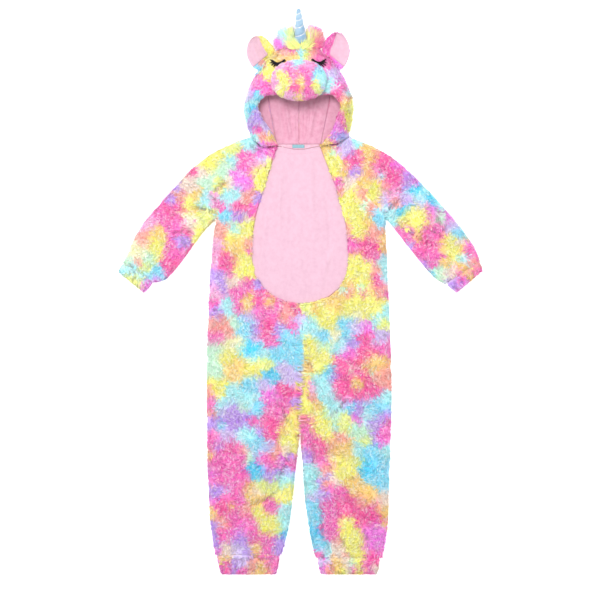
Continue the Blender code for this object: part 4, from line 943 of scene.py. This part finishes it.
def horn_fringe(turned, count):
    """Strands from the crown in front of the horn's foot, up and out to one side."""
    x = turned * (-1 + 21 * RANDOM.random(count)) * MM
    y = (576 + 14 * RANDOM.random(count)) * MM
    down = Vector((0, 0, -1))
    hits = [WHOLE.ray_cast(Vector((x[k], y[k], 0.3)), down)[0] for k in range(count)]
    z = np.array([45 * MM if hit is None else hit[2] for hit in hits])
    start = np.stack([x, y, z - 2.5 * MM], axis=1)
    swing = 0.15 + 0.75 * RANDOM.random(count) + 0.03 * np.abs(x) / MM
    way = unit(np.stack([turned * np.sin(swing), np.cos(swing), 0.3 * RANDOM.random(count)], axis=1))
    length = (8 + 20 * RANDOM.random((count, 1)) ** 1.5) * MM
    end = start + way * length
    bow = np.array([0, 0, 1]) * length * 0.1
    half = unit(np.cross(way, [0, 0, 1.0])) * 0.45 * MM
    first, second = start + way * length * 0.35 + bow, start + way * length * 0.7 + bow
    return strand_corners(start, first, second, end, half), np.tile([0, 0, 1.0], (count, 1))


MANE_FOOT = np.array([0, 588 * MM, 14 * MM])
MANE_CORE = np.array([0.93, 0.62, 0.8])       # the cores lie under the strands, shorter than their solids
MANE_SHARE = np.array([0.88, 0.76, 0.88])


def make_mane(name):
    points, faces = node_arrays(name, 7 * MM)
    points = MANE_FOOT + (points - MANE_FOOT) * MANE_CORE
    tint = dye_at(points, "mane", np.zeros(len(points), bool))
    # The cores get the dye dimmed a little as painted shade in the gaps between the strands.
    core = new_mesh(name + "_locks", points, faces, tint * 0.96)
    dress(core, BACKING, name)
    points, faces = node_arrays(name)
    points = MANE_FOOT + (points - MANE_FOOT) * MANE_SHARE
    middle = points[:, 0].mean()
    spec = {"heart": np.array([0.45 * middle, 572 * MM, 10 * MM]), "follow": 0.2, "jitter": 0.35,
            "far": 60 * MM, "lock": 0.6, "spread": 4.0 * MM, "length": (14 * MM, 52 * MM),
            "proud": 2.5 * MM, "width": 1.0 * MM, "up": np.array([0, 0, 0.9])}
    corners, blades, out, spot = make_strands(points, faces, 7000, spec)
    fringe_at, fringe_out = horn_fringe(1 if middle > 0 else -1, 240)
    corners = np.concatenate([corners, fringe_at])
    out, spot = np.concatenate([out, fringe_out]), np.concatenate([spot, fringe_at[:, 0]])
    count = len(corners)
    blades = strand_faces(count)
    shift = jitter(count) * 7 * MM
    dye = dye_at(spot + shift, "mane", np.zeros(count, bool))
    tip_highlight = RANDOM.random((count, 1))
    tone = 0.86 + 0.18 * RANDOM.random((count, 1)) + 0.07 * noise(spot, 5 * MM, 77)[:, None]
    grey = dye.mean(axis=1, keepdims=True)
    dye = np.clip(grey + (dye - grey) * (0.8 + 0.7 * RANDOM.random((count, 1))), 0, 1)
    # Painted highlight: the strands' tips are whitened by a random share.
    low, tip = dye * tone, (dye + (1 - dye) * (0.15 + 0.5 * tip_highlight)) * tone
    colours = np.stack([low, low, low, dye * tone, dye * tone, tip], axis=1).reshape(-1, 3)
    shading = unit(out * 0.3 + np.array([0, 0, 1.0]) + 0.35 * jitter(count))
    hair = new_mesh(name + "_pile", corners.reshape(-1, 3), blades, colours)
    hair.data.normals_split_custom_set_from_vertices(np.repeat(shading, 6, axis=0).tolist())
    dress(hair, PILE)


def make_lash(name):
    """A lash of close satin stitches over its raised form."""
    points, faces = node_arrays(name, 2.5 * MM)
    core = new_mesh(name + "_core", points, faces)
    dress(core, THREAD, name)
    _, normals, _ = face_facts(points, faces)
    upper = normals[:, 2] > 0.2
    spec = {"heart": np.array([0, 505 * MM, 0]), "follow": 0.0, "jitter": 0.5, "far": 1.0, "spread": 0.0,
            "lock": 0.0, "length": (2.0 * MM, 3.6 * MM), "proud": 0.35 * MM, "width": 0.45 * MM,
            "up": np.array([0, 0, 0.5])}
    corners, blades, _, _ = make_strands(points, faces[upper], 1400, spec)
    thread = new_mesh(name + "_thread", corners.reshape(-1, 3), blades)
    dress(thread, THREAD)


def horn_axes():
    base, tip = np.array([2.0, 597.4, 38.2]) * MM, np.array([-4.0, 675.5, 82.0]) * MM
    shift = (np.array(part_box("horn")[0]) + np.array(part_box("horn")[1])) / 2
    own = (HORN_LOW + HORN_HIGH) / 2
    base, tip = base + shift - own, tip + shift - own
    tip = base + (tip - base) * 0.97
    axis = (tip - base) / np.linalg.norm(tip - base)
    side = np.cross(axis, (0, 0, 1))
    side = side / np.linalg.norm(side)
    return base, tip, axis, side, np.cross(side, axis)


HORN_LOW = np.array([-13.8, 589.8, 24.2]) * MM
HORN_HIGH = np.array([18.1, 677.4, 84.6]) * MM


def horn_turns(share):
    """Turns of the cord up to that share of the length."""
    return 3.9 * share + 0.9 * share ** 3


def horn_radius(share):
    taper = 16.2 + (4.9 - 16.2) * share ** 1.05
    return taper * np.sqrt(1 - np.clip((share - 0.94) / 0.062, 0, 1) ** 2) * MM


def tube_faces(rings, sides):
    """Corners of the four-sided faces between rings of points."""
    return np.array([(r * sides + s, r * sides + (s + 1) % sides, (r + 1) * sides + (s + 1) % sides,
                      (r + 1) * sides + s) for r in range(rings - 1) for s in range(sides)])


def halved(quads):
    return np.concatenate([quads[:, [0, 1, 2]], quads[:, [0, 2, 3]]])


def make_horn(base, tip, axis, side, up):
    """The padded satin horn, puckered where the cord draws it in."""
    length = np.linalg.norm(tip - base)
    rings, sides = 110, 60
    share = np.linspace(0, 1, rings)[:, None]
    angle = np.linspace(0, 2 * math.pi, sides, endpoint=False)[None, :]
    phase = (horn_turns(share) + angle / (2 * math.pi) - 0.25) % 1.0
    off = np.minimum(phase, 1 - phase)
    groove = 0.17 * np.exp(-(off / 0.11) ** 2)
    pucker = 0.022 * np.cos(17 * angle + 9 * np.sin(5 * share * math.pi)) * np.exp(-(off / 0.3) ** 2)
    radius = horn_radius(share) * (1 - groove + pucker) * np.minimum(1, 0.82 + 3 * share)
    points = (base + axis * (share * length)[:, :, None]
              + radius[:, :, None] * (side * np.cos(angle)[:, :, None] + up * np.sin(angle)[:, :, None]))
    points = np.concatenate([points.reshape(-1, 3), [base, tip + axis * 0.2 * MM]])
    last = (rings - 1) * sides
    caps = [(rings * sides, (s + 1) % sides, s) for s in range(sides)]
    caps += [(rings * sides + 1, last + s, last + (s + 1) % sides) for s in range(sides)]
    horn = new_mesh("horn_satin", points, np.concatenate([halved(tube_faces(rings, sides)), caps]))
    dress(horn, SATIN, "horn")


def make_horn_cord(base, tip, axis, side, up):
    """The twisted cord that winds up the horn in its groove."""
    length = np.linalg.norm(tip - base)
    steps, around = 260, 8
    share = np.linspace(0.015, 0.955, steps)
    turn = math.pi / 2 - 2 * math.pi * horn_turns(share)
    radius = horn_radius(share) * (1 - 0.16) * np.minimum(1, 0.82 + 3 * share) + 0.5 * MM
    out = side * np.cos(turn)[:, None] + up * np.sin(turn)[:, None]
    line = base + axis * (share * length)[:, None] + radius[:, None] * out
    run = unit(np.gradient(line, axis=0))
    out = unit(out)
    over = unit(np.cross(run, out))
    ring = np.linspace(0, 2 * math.pi, around, endpoint=False)
    twist = 1.0 * MM * (1 + 0.14 * np.cos(2 * ring[None, :] + np.arange(steps)[:, None] * 1.1))
    spokes = (out[:, None, :] * np.cos(ring)[None, :, None]
              + over[:, None, :] * np.sin(ring)[None, :, None])
    points = line[:, None, :] + twist[:, :, None] * spokes
    quads = tube_faces(steps, around)[:, [0, 3, 2, 1]]
    cord = new_mesh("horn_cord", points.reshape(-1, 3), halved(quads))
    dress(cord, CORD)


tummy = make_cloth("tummy_panel", VELOUR, 6 * MM, TUMMY_FOLDS, 0.12)
make_row_of_stitches("tummy_topstitch", tummy, [(279.5, 151.6), (289, 153.6), (300, 154.3), (311, 153.2),
                                                (320, 150.8)], 2.6 * MM, STITCH)
for end in ("left", "right"):
    make_cloth("ear_lining_" + end, VELOUR, 3 * MM, EAR_FOLDS, 0.25)
    make_cloth("lining_side_" + end, LINING, 5 * MM, LINING_FOLDS, 0.5)
    make_cloth("lining_back_" + end, LINING, 5 * MM, LINING_FOLDS, 0.5)
    make_lash("eyelash_" + end)
    make_mane("mane_" + end)
make_cloth("neck_facing", FACING, 4 * MM, FACING_FOLDS, 0.2)
make_cloth("neck_label", LABEL, 3 * MM, [], 0.1)
horn_lines = horn_axes()
make_horn(*horn_lines)
make_horn_cord(*horn_lines)
